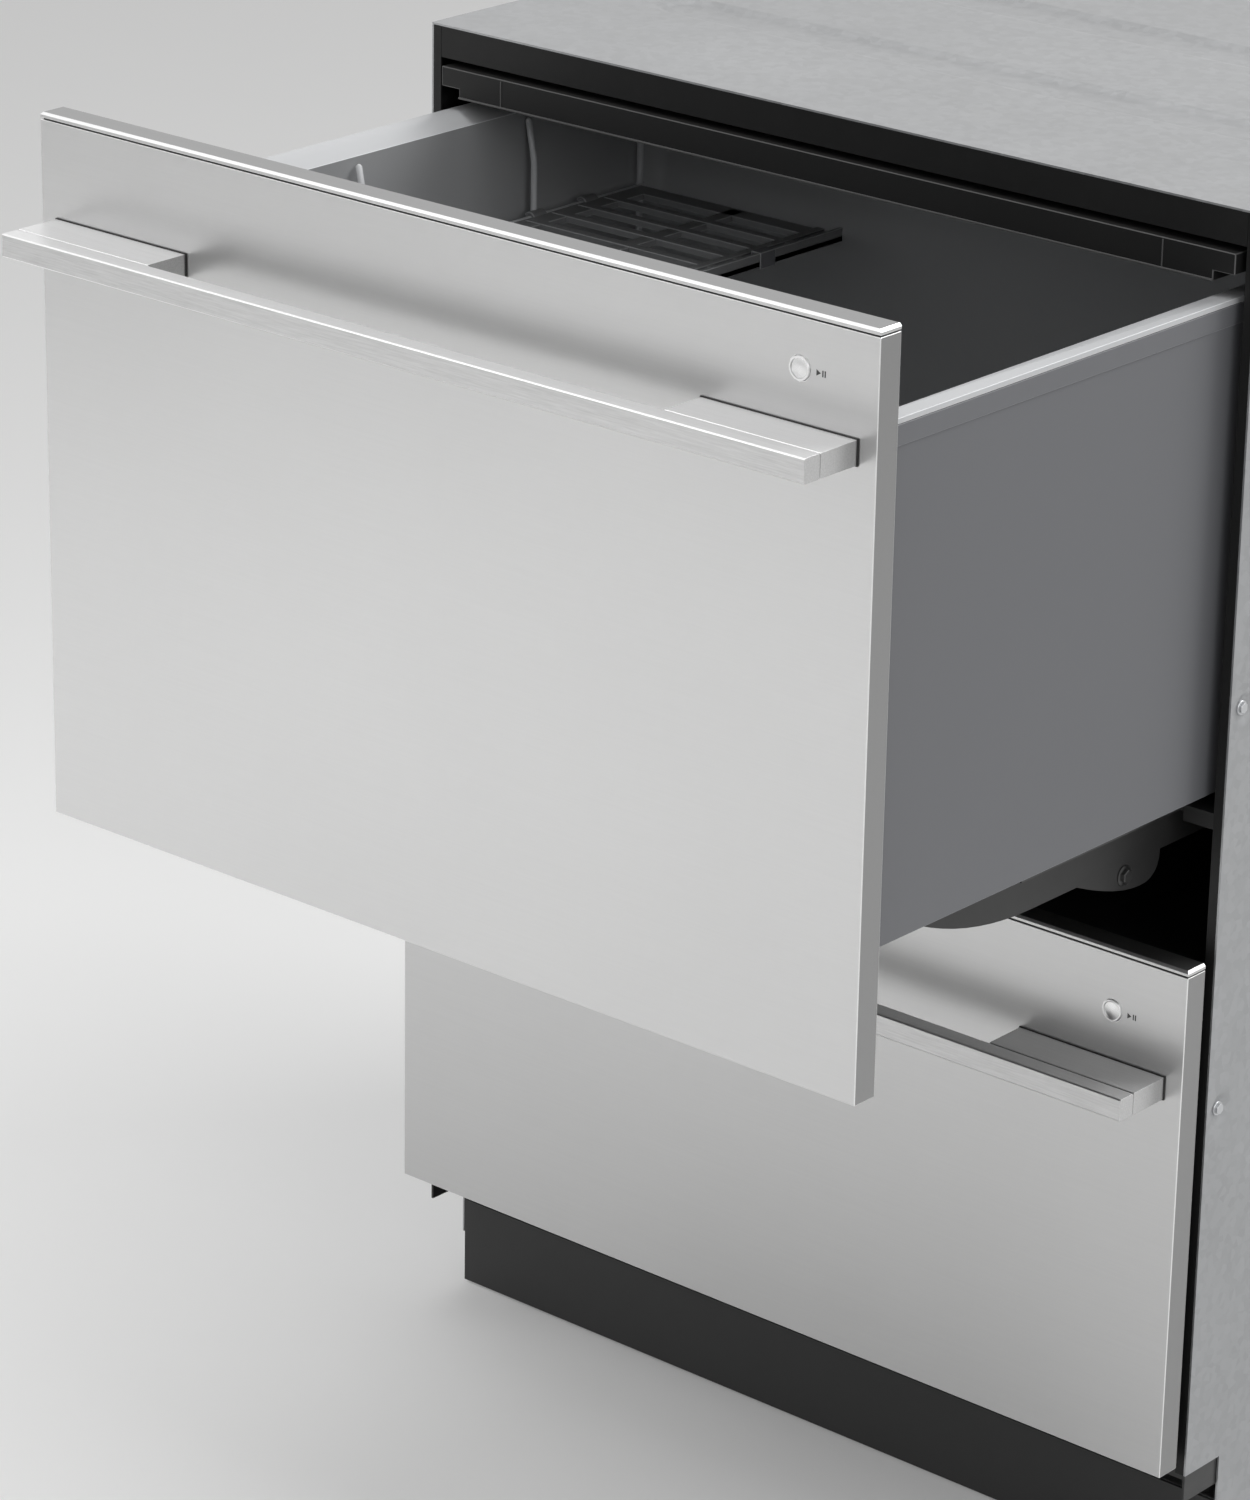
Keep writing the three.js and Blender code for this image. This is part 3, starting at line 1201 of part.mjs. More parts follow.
// ================================================================ assembly
const SIDES = [['left', -1], ['right', 1]];

function group(opened, meshes) {
  const assembly = new THREE.Group();
  assembly.position.y = -opened;
  assembly.add(...meshes);
  return assembly;
}

function chassis() {
  return group(0, [
    ...SIDES.map(([name, side]) => piece(`chassis_${name}_side`, chassisSide(side), 'galvanised')),
    piece('chassis_back_panel', backPanel(), 'galvanised'),
    piece('chassis_top_panel', chassisTop(), 'black'),
    piece('chassis_mid_shelf', midShelf(), 'black'),
    piece('chassis_base_pan', basePan(), 'galvanised'),
    piece('toe_kick', toeKick(), 'black'),
    ...footPlaces.map((place) => piece(`levelling_foot_${place.name}`, levellingFoot(place), 'rubber')),
    ...[upper, lower].flatMap((drawer) => SIDES.map(([name, side]) => (
      piece(`${drawer.name}_fixed_rail_${name}`, fixedRail(drawer, side), 'black')
    ))),
    piece('water_inlet_valve', inletValve(), 'white'),
    piece('power_inlet_box', powerInlet(), 'black'),
  ]);
}

function lidAssembly(drawer) {
  return group(0, [
    piece(`${drawer.name}_tub_lid`, tubLid(drawer), 'charcoal'),
    piece(`${drawer.name}_lid_seal`, lidSeal(drawer), 'rubber'),
  ]);
}

function middleRails(drawer) {
  return group(drawer.opened * MIDDLE_RAIL_SHARE, SIDES.map(([name, side]) => (
    piece(`${drawer.name}_middle_rail_${name}`, middleRail(drawer, side), 'black')
  )));
}

function doorPieces(drawer) {
  const { name } = drawer;
  return [
    piece(`${name}_door_skin`, doorSkin(drawer), 'steel'),
    piece(`${name}_door_cap`, doorCap(drawer), 'steel'),
    piece(`${name}_door_liner`, doorLiner(drawer), 'charcoal'),
    piece(`${name}_handle_bar`, handleBar(drawer), 'steel'),
    ...SIDES.map(([sideName, side]) => (
      piece(`${name}_handle_block_${sideName}`, handleBlock(drawer, side), 'steel')
    )),
    piece(`${name}_start_button`, startButton(drawer), 'polished'),
  ];
}

function tubPieces(drawer) {
  const { name } = drawer;
  return [
    piece(`${name}_tub`, tub(drawer), 'tub'),
    ...SIDES.map(([sideName, side]) => (
      piece(`${name}_side_cladding_${sideName}`, sideCladding(drawer, side), 'slate')
    )),
    piece(`${name}_tub_carrier`, carrier(drawer), 'charcoal'),
    piece(`${name}_wash_motor`, washMotor(drawer), 'black'),
    piece(`${name}_filter_plate`, filterPlate(drawer), 'charcoal'),
    piece(`${name}_spray_arm`, sprayArm(drawer), 'charcoal'),
  ];
}

const upperInsides = () => [
  piece('upper_base_rack', upperRack(), 'wire'),
  piece('upper_folding_tines', foldingTines(), 'wire'),
  piece('upper_cup_rack', cupRack(), 'charcoal'),
  piece('upper_cutlery_basket', cutleryBasket(), 'charcoal'),
  piece('upper_detergent_dispenser', detergentDispenser(), 'charcoal'),
  piece('upper_dispenser_lid', dispenserLid(), 'slate'),
];

const lowerInsides = () => [piece('lower_base_rack', baseRack(lower, LOWER_TINE_ROWS), 'wire')];

const dishwasher = new THREE.Group();
dishwasher.position.y = -half(PRODUCT_DEPTH - HANDLE_REACH - Math.max(UPPER_OPENED, LOWER_OPENED));
dishwasher.add(
  chassis(),
  ...[upper, lower].flatMap((drawer) => [lidAssembly(drawer), middleRails(drawer)]),
  group(upper.opened, [...doorPieces(upper), ...tubPieces(upper), ...upperInsides()]),
  group(lower.opened, [...doorPieces(lower), ...tubPieces(lower), ...lowerInsides()]),
);

export default dishwasher;
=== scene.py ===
import math

import bmesh
import bpy
from mathutils import Matrix, Vector


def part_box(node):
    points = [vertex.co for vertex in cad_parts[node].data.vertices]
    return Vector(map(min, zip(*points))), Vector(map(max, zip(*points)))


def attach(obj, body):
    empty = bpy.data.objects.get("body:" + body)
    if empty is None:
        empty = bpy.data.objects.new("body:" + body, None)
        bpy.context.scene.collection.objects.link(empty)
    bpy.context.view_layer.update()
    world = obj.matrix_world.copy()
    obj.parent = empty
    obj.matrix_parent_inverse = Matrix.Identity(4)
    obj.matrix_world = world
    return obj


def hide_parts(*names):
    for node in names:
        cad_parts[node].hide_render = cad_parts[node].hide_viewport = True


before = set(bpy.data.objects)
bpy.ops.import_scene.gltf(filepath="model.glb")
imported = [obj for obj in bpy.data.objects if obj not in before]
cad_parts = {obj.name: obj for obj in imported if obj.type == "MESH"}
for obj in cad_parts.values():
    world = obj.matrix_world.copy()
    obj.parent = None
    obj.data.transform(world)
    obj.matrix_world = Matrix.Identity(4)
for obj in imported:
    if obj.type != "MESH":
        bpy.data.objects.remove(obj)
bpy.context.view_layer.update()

MM = 0.001
DRAWERS = ("upper", "lower")
SIDES = {"left": -1, "right": 1}
FEET = ("front_left", "front_right", "rear_left", "rear_right")

# ---------------------------------------------------------------- camera and studio
CAMERA_PLACE = (1.907, -2.478, 1.646)
CAMERA_AZIMUTH = 40.61
CAMERA_ELEVATION = 21.23
CAMERA_ROLL = 1.01
CAMERA_LENS = 133.5
CAMERA_SENSOR = 36
BACKDROP_COLOUR = (0.93, 0.93, 0.93, 1)
FLOOR_COLOUR = (0.90, 0.90, 0.895, 1)
FLOOR_SIZE = 14
WORLD_LEVEL = 0.40
FLOOR_HAZE = 0.15

# ---------------------------------------------------------------- wire rack
WIRE_RADIUS = 2 * MM
TINE_RADIUS = 1.8 * MM
WELD_SINK = 0.4 * MM
CROSS_WIRE_COUNT = 7
LONG_WIRE_PLACES = (-175, -95, -20, 55, 150, 200)
RACK_POST_COUNT = 4
RACK_RAIL_RISE = 38 * MM
RACK_CORNER_RADIUS = 16 * MM
RACK_CORNER_STEPS = 6
TINE_COUNT = 11
TINE_PITCH = 29 * MM
TINE_START = 104 * MM
TINE_HEIGHT = 74 * MM
TINE_ROWS = {"upper": (-20, 200), "lower": (55,)}
TINE_TIP_LENGTH = 1.2 * MM
TINE_TIP = ((1, 1), (0.35, 0.78), (0, 0.3))
FOLD_ROW_X = 108 * MM
TALL_WIRES_FROM_BACK = (5, 103, 251)
TALL_WIRE_KNEE_DROP = 25 * MM
TALL_WIRE_LEAN = 5 * MM
TALL_WIRE_INSET = 2 * MM
TALL_WIRE_BEND = 5 * MM
TALL_WIRE_BEND_STEPS = 5
HINGE_WIRE_OFFSET = 3 * MM
WIRE_SIDES = 3

# ---------------------------------------------------------------- chassis sheets and screws
CHASSIS_SHEET = 1.2 * MM
SEAT_GAP = 0.3 * MM
SIDE_LIP_WIDTH = 6 * MM
SIDE_LIP_THICKNESS = 1.5 * MM
PLINTH_NOTCH_DEPTH = 34 * MM
PLINTH_NOTCH_TOP = 90 * MM
TOP_RAIL_HEIGHT = 20 * MM
GUIDE_WIDTH = 2.5 * MM
GUIDE_LENGTH = 30 * MM
GUIDE_INSET = 40 * MM
SWAGE_HALF_WIDTH = 20 * MM
SWAGE_DEPTH = 2.6 * MM
QUARTERS = (0.25, 0.5, 0.75)
TOP_SWAGE_INSET = 0.14
SWAGE_LEVELS = ((150 * MM, 350 * MM), (550 * MM, 790 * MM))
PRESS_COARSE = 26 * MM
PRESS_FINE = 2.4 * MM
PRESS_NEAREST = 0.35 * PRESS_FINE
PRESS_SHOULDER = 6 * MM
SCREW_INSET = 14 * MM
SCREW_SEAT = 11 * MM
SCREW_SEAT_DEPTH = 2.6 * MM
SCREW_WASHER = 4.4 * MM
SCREW_HEAD = 3.4 * MM
SCREW_HEAD_HEIGHT = 2.3 * MM

# ---------------------------------------------------------------- feet and services
FOOT_NUT = 12 * MM
FOOT_NUT_HEIGHT = 8 * MM
FOOT_STEM = 5 * MM
FOOT_THREAD_PITCH = 1.8 * MM
FOOT_THREAD_TURNS = 25
SPOUT_RADIUS = 13 * MM
SPOUT_LENGTH = 18 * MM
SPOUT_PITCH = 2.4 * MM
GLAND_RADIUS = 9 * MM
GLAND_LENGTH = 14 * MM

# ---------------------------------------------------------------- insides and trim
CUP_CLIP_RADIUS = 4.6 * MM
CUP_CLIP_BORE = 2.4 * MM
CUP_CLIP_LENGTH = 12 * MM
CUP_CLIP_SWEEP = 300
CUP_CLIP_STEPS = 14
CUP_SHELF_HALF = 2 * MM
CUP_RIB_HALF = 5 * MM
CUP_BAND = 7 * MM
CUP_BORDER = 14 * MM
CUP_SLAT = 7 * MM
CUP_SLOTS = 9
BASKET_WALL = 2.2 * MM
BASKET_BAND = 16 * MM
BASKET_SLOT = 9 * MM
BASKET_FLOOR_BARS = 14
BASKET_BAR_HALF = 3.4 * MM
BASKET_PLATE_HALF = 1.2 * MM
BASKET_POST = 8 * MM
LID_PLATE_MARGIN = 4 * MM
RINSE_CAP = 16 * MM
LATCH_SINK = 4 * MM
LATCH_HALF = 11 * MM
LATCH_RIDGES = 3
RIDGE_HALF = 8 * MM
LID_RIB_INSET = 12 * MM
TUB_RIM_BAND = 4.5 * MM
CARRIER_HALF = 258 * MM
LUG_BOLT_FROM_BACK = 195 * MM
LUG_BOLT_RISE = {"upper": 11 * MM, "lower": 10 * MM}
LID_NOTCH_WIDTH = 14 * MM
LID_JOINT = (33.2 * MM, 34 * MM)
BUTTON_RING = 1.1 * MM
MARK_OFFSET = 10.6 * MM
MARK_HALF_HEIGHT = 1.7 * MM
MARK_ARROW = 2.8 * MM
MARK_BARS = (3.7 * MM, 5.2 * MM)
MARK_BAR_WIDTH = 0.8 * MM
# Painted shadow: a dark pad behind each handle block, a little wider than the block.
HANDLE_SHADOW_PAD = 0.6 * MM
HANDLE_SHADOW_PAD_EDGE = 0.5 * MM


# ================================================================ node trees
COLOUR = "NodeSocketColor"
VALUE = "NodeSocketFloat"
VECTOR = "NodeSocketVector"
INPUT_KINDS = {1: VALUE, 3: VECTOR, 4: COLOUR}
OUTPUT_KINDS = {"Colour": COLOUR, "Roughness": VALUE, "Normal": VECTOR}


def start_effect(name, inputs):
    """An empty shader node group; how many parts an input has gives its kind."""
    tree = bpy.data.node_groups.new(name, "ShaderNodeTree")
    for title, value in inputs.items():
        kind = INPUT_KINDS[len(value) if isinstance(value, tuple) else 1]
        socket = tree.interface.new_socket(name=title, in_out="INPUT", socket_type=kind)
        socket.default_value = value
    return tree, tree.nodes.new("NodeGroupInput").outputs


def end_effect(tree, **sources):
    """Gives a node group its outputs, each with the socket that feeds it."""
    for title in sources:
        kind = OUTPUT_KINDS[title]
        tree.interface.new_socket(name=title, in_out="OUTPUT", socket_type=kind)
    result = tree.nodes.new("NodeGroupOutput").inputs
    for title, source in sources.items():
        tree.links.new(source, result[title])
    return tree


def add_node(tree, kind, inputs=None, **settings):
    """A shader node; each of its inputs is a fixed value or the socket that feeds it."""
    node = tree.nodes.new("ShaderNode" + kind)
    for name, value in settings.items():
        setattr(node, name, value)
    for name, source in (inputs or {}).items():
        if isinstance(source, bpy.types.NodeSocket):
            tree.links.new(source, node.inputs[name])
        else:
            node.inputs[name].default_value = source
    return node


def object_place(tree):
    return add_node(tree, "TexCoord").outputs["Object"]


def noise(tree, place, scale, detail, roughness):
    inputs = {"Vector": place, "Scale": scale, "Detail": detail, "Roughness": roughness}
    return add_node(tree, "TexNoise", inputs).outputs["Fac"]


def arithmetic(tree, operation, first, second):
    return add_node(tree, "Math", {0: first, 1: second}, operation=operation).outputs[0]


def vector_math(tree, operation, first, second):
    return add_node(tree, "VectorMath", {0: first, 1: second}, operation=operation).outputs[0]


def swing(tree, pattern, amount):
    """A pattern turned into a factor that swings about one by the amount."""
    centred = arithmetic(tree, "SUBTRACT", pattern, 0.5)
    return arithmetic(tree, "ADD", arithmetic(tree, "MULTIPLY", centred, amount), 1)


def tinted(tree, colour, factor):
    scaled = add_node(tree, "VectorMath", {"Vector": colour, "Scale": factor}, operation="SCALE")
    return scaled.outputs["Vector"]


def blended(tree, factor, first, second):
    inputs = {"Factor": factor, "A": first, "B": second}
    return add_node(tree, "Mix", inputs, data_type="RGBA").outputs["Result"]


def bumped(tree, height, depth):
    return add_node(tree, "Bump", {"Height": height, "Distance": depth}).outputs["Normal"]


# ================================================================ shared effects
def brushed_grain():
    """Fine drawn lines in steel, longest where the grain scale is smallest."""
    tree, given = start_effect(
        "brushed_grain",
        {
            "Steel": (0.6, 0.6, 0.6, 1),
            "Grain scale": (10, 900, 900),
            "Contrast": 0.1,
            "Roughness": 0.3,
            "Depth": 0.000002,
        },
    )
    place = object_place(tree)
    lines = noise(tree, vector_math(tree, "MULTIPLY", place, given["Grain scale"]), 1, 4, 0.7)
    cloud = noise(tree, place, 7, 2, 0.4)
    line_factor = swing(tree, lines, given["Contrast"])
    both = arithmetic(tree, "MULTIPLY", line_factor, swing(tree, cloud, 0.05))
    return end_effect(
        tree,
        Colour=tinted(tree, given["Steel"], both),
        Roughness=arithmetic(tree, "MULTIPLY", given["Roughness"], both),
        Normal=bumped(tree, lines, given["Depth"]),
    )


def moulded_skin():
    """The fine grain and slow shade changes of moulded plastic, rubber and paint."""
    tree, given = start_effect(
        "moulded_skin",
        {
            "Base": (0.5, 0.5, 0.5, 1),
            "Mottle": 0.06,
            "Grain scale": 1500,
            "Depth": 0.00001,
            "Roughness": 0.45,
        },
    )
    place = object_place(tree)
    grain = noise(tree, place, given["Grain scale"], 2, 0.6)
    mottle = noise(tree, place, 11, 3, 0.5)
    shade = swing(tree, mottle, given["Mottle"])
    speck = swing(tree, grain, arithmetic(tree, "MULTIPLY", given["Mottle"], 0.8))
    both = arithmetic(tree, "MULTIPLY", shade, speck)
    return end_effect(
        tree,
        Colour=tinted(tree, given["Base"], both),
        Roughness=arithmetic(tree, "MULTIPLY", given["Roughness"], swing(tree, mottle, 0.3)),
        Normal=bumped(tree, grain, given["Depth"]),
    )


def facing_up(tree):
    normal = add_node(tree, "NewGeometry").outputs["Normal"]
    return add_node(tree, "SeparateXYZ", {"Vector": normal}).outputs["Z"]


def edge_sharpness(tree):
    return add_node(tree, "NewGeometry").outputs["Pointiness"]


def patchy_layer(name, layer, measure, low, high, scale):
    """A second colour where the measure rises from low to high, broken by a slow noise."""
    inputs = {"Colour": (0.1, 0.1, 0.1, 1), "Layer": layer, "Amount": 0.3}
    tree, given = start_effect(name, inputs)
    ramp = add_node(tree, "MapRange", {"Value": measure(tree), "From Min": low, "From Max": high})
    patch = noise(tree, object_place(tree), scale, 4, 0.6)
    film = arithmetic(tree, "MULTIPLY", ramp.outputs["Result"], patch)
    mask = arithmetic(tree, "MULTIPLY", film, given["Amount"])
    return end_effect(tree, Colour=blended(tree, mask, given["Colour"], given["Layer"]))


def zinc_spangle():
    """The flat crystal patches of hot-dip galvanised sheet."""
    tree, given = start_effect(
        "zinc_spangle",
        {"Zinc": (0.5, 0.51, 0.52, 1), "Patch scale": 90, "Contrast": 0.25, "Roughness": 0.42},
    )
    place = object_place(tree)
    cells = add_node(tree, "TexVoronoi", {"Vector": place, "Scale": given["Patch scale"]})
    tone = add_node(tree, "SeparateColor", {"Color": cells.outputs["Color"]}).outputs["Red"]
    slow = noise(tree, place, 9, 3, 0.5)
    patches = swing(tree, tone, given["Contrast"])
    factor = arithmetic(tree, "MULTIPLY", patches, swing(tree, slow, 0.2))
    return end_effect(
        tree,
        Colour=tinted(tree, given["Zinc"], factor),
        Roughness=arithmetic(tree, "MULTIPLY", given["Roughness"], factor),
    )


def turned_rings():
    """Rings left by the lathe round a line along Y through the centre."""
    tree, given = start_effect(
        "turned_rings", {"Centre": (0, 0, 0), "Rings per metre": 3000, "Depth": 0.00001}
    )
    away = vector_math(tree, "SUBTRACT", object_place(tree), given["Centre"])
    flat = vector_math(tree, "MULTIPLY", away, (1, 0, 1))
    reach = add_node(tree, "VectorMath", {0: flat}, operation="LENGTH").outputs["Value"]
    turns = arithmetic(tree, "MULTIPLY", reach, given["Rings per metre"])
    height = arithmetic(tree, "PINGPONG", turns, 0.5)
    return end_effect(tree, Normal=bumped(tree, height, given["Depth"]))


def drilled_holes():
    """A regular field of small round holes in a level plate; the hole colour is painted shade inside
    the holes.
    """
    tree, given = start_effect(
        "drilled_holes",
        {
            "Colour": (0.1, 0.1, 0.1, 1),
            "Hole": (0.01, 0.01, 0.01, 1),
            "Holes per metre": 300,
            "Hole size": 0.3,
            "Depth": 0.0005,
        },
    )
    flat = vector_math(tree, "MULTIPLY", object_place(tree), (1, 1, 0))
    inputs = {"Vector": flat, "Scale": given["Holes per metre"], "Randomness": 0.0}
    cells = add_node(tree, "TexVoronoi", inputs, voronoi_dimensions="2D")
    past_edge = arithmetic(tree, "SUBTRACT", given["Hole size"], cells.outputs["Distance"])
    sharp = arithmetic(tree, "MULTIPLY", past_edge, 12)
    mask = add_node(tree, "Clamp", {"Value": sharp}).outputs[0]
    sunk = arithmetic(tree, "SUBTRACT", 1.0, mask)
    return end_effect(
        tree,
        Colour=blended(tree, mask, given["Colour"], given["Hole"]),
        Normal=bumped(tree, sunk, given["Depth"]),
    )


BRUSHED = brushed_grain()
MOULDED = moulded_skin()
DUST = patchy_layer("settled_dust", (0.45, 0.44, 0.42, 1), facing_up, 0.4, 1.0, 25)
RUBBED = patchy_layer("rubbed_edges", (0.3, 0.3, 0.3, 1), edge_sharpness, 0.51, 0.62, 90)
SPANGLE = zinc_spangle()
RINGS = turned_rings()
DRILLED = drilled_holes()


# ================================================================ finishes
def grey(level, tint=(1, 1, 1)):
    return (level * tint[0], level * tint[1], level * tint[2], 1)


def new_finish(name, **constants):
    """A material whose Principled shader keeps the given fixed values."""
    material = bpy.data.materials.new(name)
    material.use_nodes = True
    tree = material.node_tree
    shader = tree.nodes["Principled BSDF"]
    for socket, value in constants.items():
        shader.inputs[socket.replace("_", " ")].default_value = value
    return material, tree, shader


def place_effect(tree, effect, inputs):
    return add_node(tree, "Group", inputs, node_tree=effect)


def place_skin(tree, base, roughness, mottle, grain, depth):
    inputs = {"Base": base, "Roughness": roughness, "Mottle": mottle}
    return place_effect(tree, MOULDED, inputs | {"Grain scale": grain, "Depth": depth})


def feed(tree, shader, colour, roughness, normal=None):
    """Links what changes over the surface to a Principled shader."""
    tree.links.new(colour.outputs["Colour"], shader.inputs["Base Color"])
    tree.links.new(roughness.outputs["Roughness"], shader.inputs["Roughness"])
    if normal:
        tree.links.new(normal.outputs["Normal"], shader.inputs["Normal"])


def steel_finish(name, steel, scale, contrast, roughness, depth, metallic=1.0):
    material, tree, shader = new_finish(name, Metallic=metallic)
    grain = place_effect(
        tree,
        BRUSHED,
        {
            "Steel": steel,
            "Grain scale": scale,
            "Contrast": contrast,
            "Roughness": roughness,
            "Depth": depth,
        },
    )
    feed(tree, shader, grain, grain, grain)
    return material


def dusted(tree, under, dust):
    return place_effect(tree, DUST, {"Colour": under.outputs["Colour"], "Amount": dust})


def moulded_finish(
    name, base, roughness, mottle=0.06, grain=1500, depth=0.00001, dust=0.0, rubbed=0.3, **fixed
):
    """Moulded or painted finish with dust on top and paler rubbed edges."""
    material, tree, shader = new_finish(name, **fixed)
    skin = place_skin(tree, base, roughness, mottle, grain, depth)
    paler = tuple(min(1, 1.6 * part + 0.02) for part in base[:3]) + (1,)
    inputs = {"Colour": skin.outputs["Colour"], "Layer": paler, "Amount": rubbed}
    feed(tree, shader, dusted(tree, place_effect(tree, RUBBED, inputs), dust), skin, skin)
    return material


def zinc_finish(name, zinc, scale, contrast, roughness, dust):
    material, tree, shader = new_finish(name, Metallic=0.85)
    sheet = place_effect(
        tree,
        SPANGLE,
        {"Zinc": zinc, "Patch scale": scale, "Contrast": contrast, "Roughness": roughness},
    )
    feed(tree, shader, dusted(tree, sheet, dust), sheet)
    return material


def spun_finish(name, steel, centre, roughness):
    material, tree, shader = new_finish(name, Metallic=1.0, Roughness=roughness, Base_Color=steel)
    rings = place_effect(tree, RINGS, {"Centre": centre, "Rings per metre": 2600, "Depth": 0.00002})
    tree.links.new(rings.outputs["Normal"], shader.inputs["Normal"])
    shader.inputs["Anisotropic"].default_value = 0.9
    lathe = add_node(tree, "Tangent", direction_type="RADIAL", axis="Y")
    tree.links.new(lathe.outputs["Tangent"], shader.inputs["Tangent"])
    return material


def filter_finish(name, base, roughness):
    """Charcoal plate drilled with a close pattern of fine holes."""
    material, tree, shader = new_finish(name)
    skin = place_skin(tree, base, roughness, 0.06, 1500, 0.000005)
    # The holes' near-black is painted shade.
    inputs = {"Colour": skin.outputs["Colour"], "Hole": grey(0.004), "Hole size": 0.3}
    holes = place_effect(tree, DRILLED, inputs | {"Holes per metre": 330, "Depth": 0.0006})
    feed(tree, shader, holes, skin, holes)
    return material


COOL = (0.985, 1.0, 1.02)
DOOR_STEEL = steel_finish("brushed_door_steel", grey(0.58), (9, 700, 900), 0.07, 0.34, 0.0000015)
# Painted highlight: a much paler copy of the door steel on bevels, chamfers and the button's ring, for
# light caught along them.
HIGHLIGHT_STEEL = steel_finish("painted_highlight_steel", grey(0.86), (30, 900, 900), 0.05, 0.3, 0.000001)
# Painted shade: a darker copy of the door steel for the door skin's side faces.
SHADED_FLANK_STEEL = steel_finish("door_flank_painted_shade", grey(0.30), (9, 700, 900), 0.07, 0.36, 0.0000015)
HANDLE_STEEL = steel_finish("drawn_handle_steel", grey(0.57), (45, 1000, 1000), 0.6, 0.38, 0.000005)
# Painted highlight: a paler, half-metallic copy of the handle steel for the handles' top faces.
HANDLE_TOP_HIGHLIGHT = steel_finish(
    "handle_top_painted_highlight", grey(0.84), (22, 1300, 1300), 0.2, 0.36, 0.000005, metallic=0.5
)
# Painted shade: a darker copy of the door steel for the cap's top face.
CAP_TOP_SHADE = steel_finish("cap_top_painted_shade", grey(0.34), (20, 1400, 1400), 0.16, 0.38, 0.000003)
TUB_RIM = moulded_finish("pale_tub_rim", grey(0.56, COOL), 0.34, depth=0.000004, rubbed=0.1)
# Painted shade: the same tub plastic, darker, for the walls below the rim band, where the inside of
# the tub lies in shade.
TUB_WALL_SHADE = moulded_finish("tub_wall_painted_shade", grey(0.37, COOL), 0.36, depth=0.000004, rubbed=0.05)
# Painted highlight: a paler copy of the tub plastic for the tub's rounded edges.
RIM_HIGHLIGHT = moulded_finish("rim_edge_painted_highlight", grey(0.78, COOL), 0.3, depth=0.000002, rubbed=0.0)
SLATE_PLASTIC = moulded_finish("slate_cladding", (0.140, 0.143, 0.153, 1), 0.5, 0.05, 1800, rubbed=0.2)
# Painted highlight: a paler copy of the slate plastic for the claddings' rounded edges.
SLATE_HIGHLIGHT = moulded_finish("slate_edge_painted_highlight", (0.25, 0.253, 0.265, 1), 0.45, 0.05, 1800, rubbed=0.0)
LID_PLASTIC = moulded_finish(
    "lid_charcoal", grey(0.013), 0.45, 0.08, 1500, dust=0.03, rubbed=0.1, Specular_IOR_Level=0.25
)
# Painted highlight: a paler grey than the lid for its rounded edges, lip and joints.
LID_HIGHLIGHT = moulded_finish("lid_lip_painted_highlight", grey(0.10), 0.4, 0.06, 1500, rubbed=0.0)
CARRIER_PLASTIC = moulded_finish("carrier_charcoal", grey(0.024), 0.5, 0.08, 1200)
SCREW_STEEL = steel_finish("screw_zinc", grey(0.55, COOL), (800, 800, 800), 0.1, 0.35, 0.000004)
BLACK_SCREW = moulded_finish("blackened_screw", grey(0.022), 0.32, 0.1, 1500, rubbed=0.9)
FILTER_PLASTIC = filter_finish("drilled_filter", grey(0.09, COOL), 0.32)
CUP_RACK_PLASTIC = moulded_finish("cup_rack_grey", grey(0.20, COOL), 0.4, 0.06, 1600)
BASKET_PLASTIC = moulded_finish("basket_grey", grey(0.13, COOL), 0.4, 0.06, 1600)
# Painted highlight: a paler copy of the cup rack grey for the shelf's rounded edges.
CUP_RACK_HIGHLIGHT = moulded_finish("cup_rack_edge_painted_highlight", grey(0.38, COOL), 0.35, 0.05, 1600, rubbed=0.0)
DISPENSER_PLASTIC = moulded_finish("dispenser_grey", grey(0.12, COOL), 0.35, 0.05, 1800)
DISPENSER_LID = moulded_finish("dispenser_lid_grey", grey(0.2, COOL), 0.3, 0.05, 1800)
WASH_PLASTIC = moulded_finish("wash_system_grey", grey(0.07, COOL), 0.35, 0.06, 1500)
MOTOR_BODY = moulded_finish("motor_black", grey(0.02), 0.4, 0.1, 900)
WIRE_COAT = moulded_finish("wire_nylon_coat", grey(0.62, COOL), 0.3, 0.05, 2500, 0.000006, rubbed=0.1)
SEAL_RUBBER = moulded_finish("seal_rubber", grey(0.014), 0.6, 0.1, 2200, 0.00002)
FOOT_RUBBER = moulded_finish("foot_rubber", grey(0.03), 0.6, 0.15, 1800, 0.00003, dust=0.3)
BLACK_PAINT = moulded_finish("black_enamel", grey(0.010), 0.35, 0.1, 1300, 0.000008, dust=0.05)
KICK_PAINT = moulded_finish("toe_kick_black", grey(0.019), 0.5, 0.08, 1000, 0.00001, dust=0.05)
RAIL_PAINT = moulded_finish("runner_black", grey(0.016), 0.3, 0.12, 1500, 0.000006, rubbed=0.8)
LINER_PLASTIC = moulded_finish("door_liner_charcoal", grey(0.05), 0.5, 0.06, 1500)
VALVE_PLASTIC = moulded_finish("valve_white", grey(0.72), 0.35, 0.05, 1800, dust=0.2)
INLET_PLASTIC = moulded_finish("power_inlet_black", grey(0.02), 0.4, 0.08, 1500, dust=0.2)
MARK_INK = moulded_finish("printed_mark", grey(0.05), 0.5, 0.1, 3000, 0.000001, rubbed=0.0)
ZINC_SHEET = zinc_finish("galvanised_sheet", grey(0.40, COOL), 210, 0.12, 0.46, 0.12)
# Painted shade: a near-black lining for the inner faces, front lips, rail and guides of the galvanised
# sheets, where shade falls.
SHADE_LINING = moulded_finish(
    "sheet_inside_painted_shade", grey(0.009), 0.45, 0.1, 1300, dust=0.03, rubbed=0.2, Specular_IOR_Level=0.25
)
SHEET_SKINS = (ZINC_SHEET, SHADE_LINING)


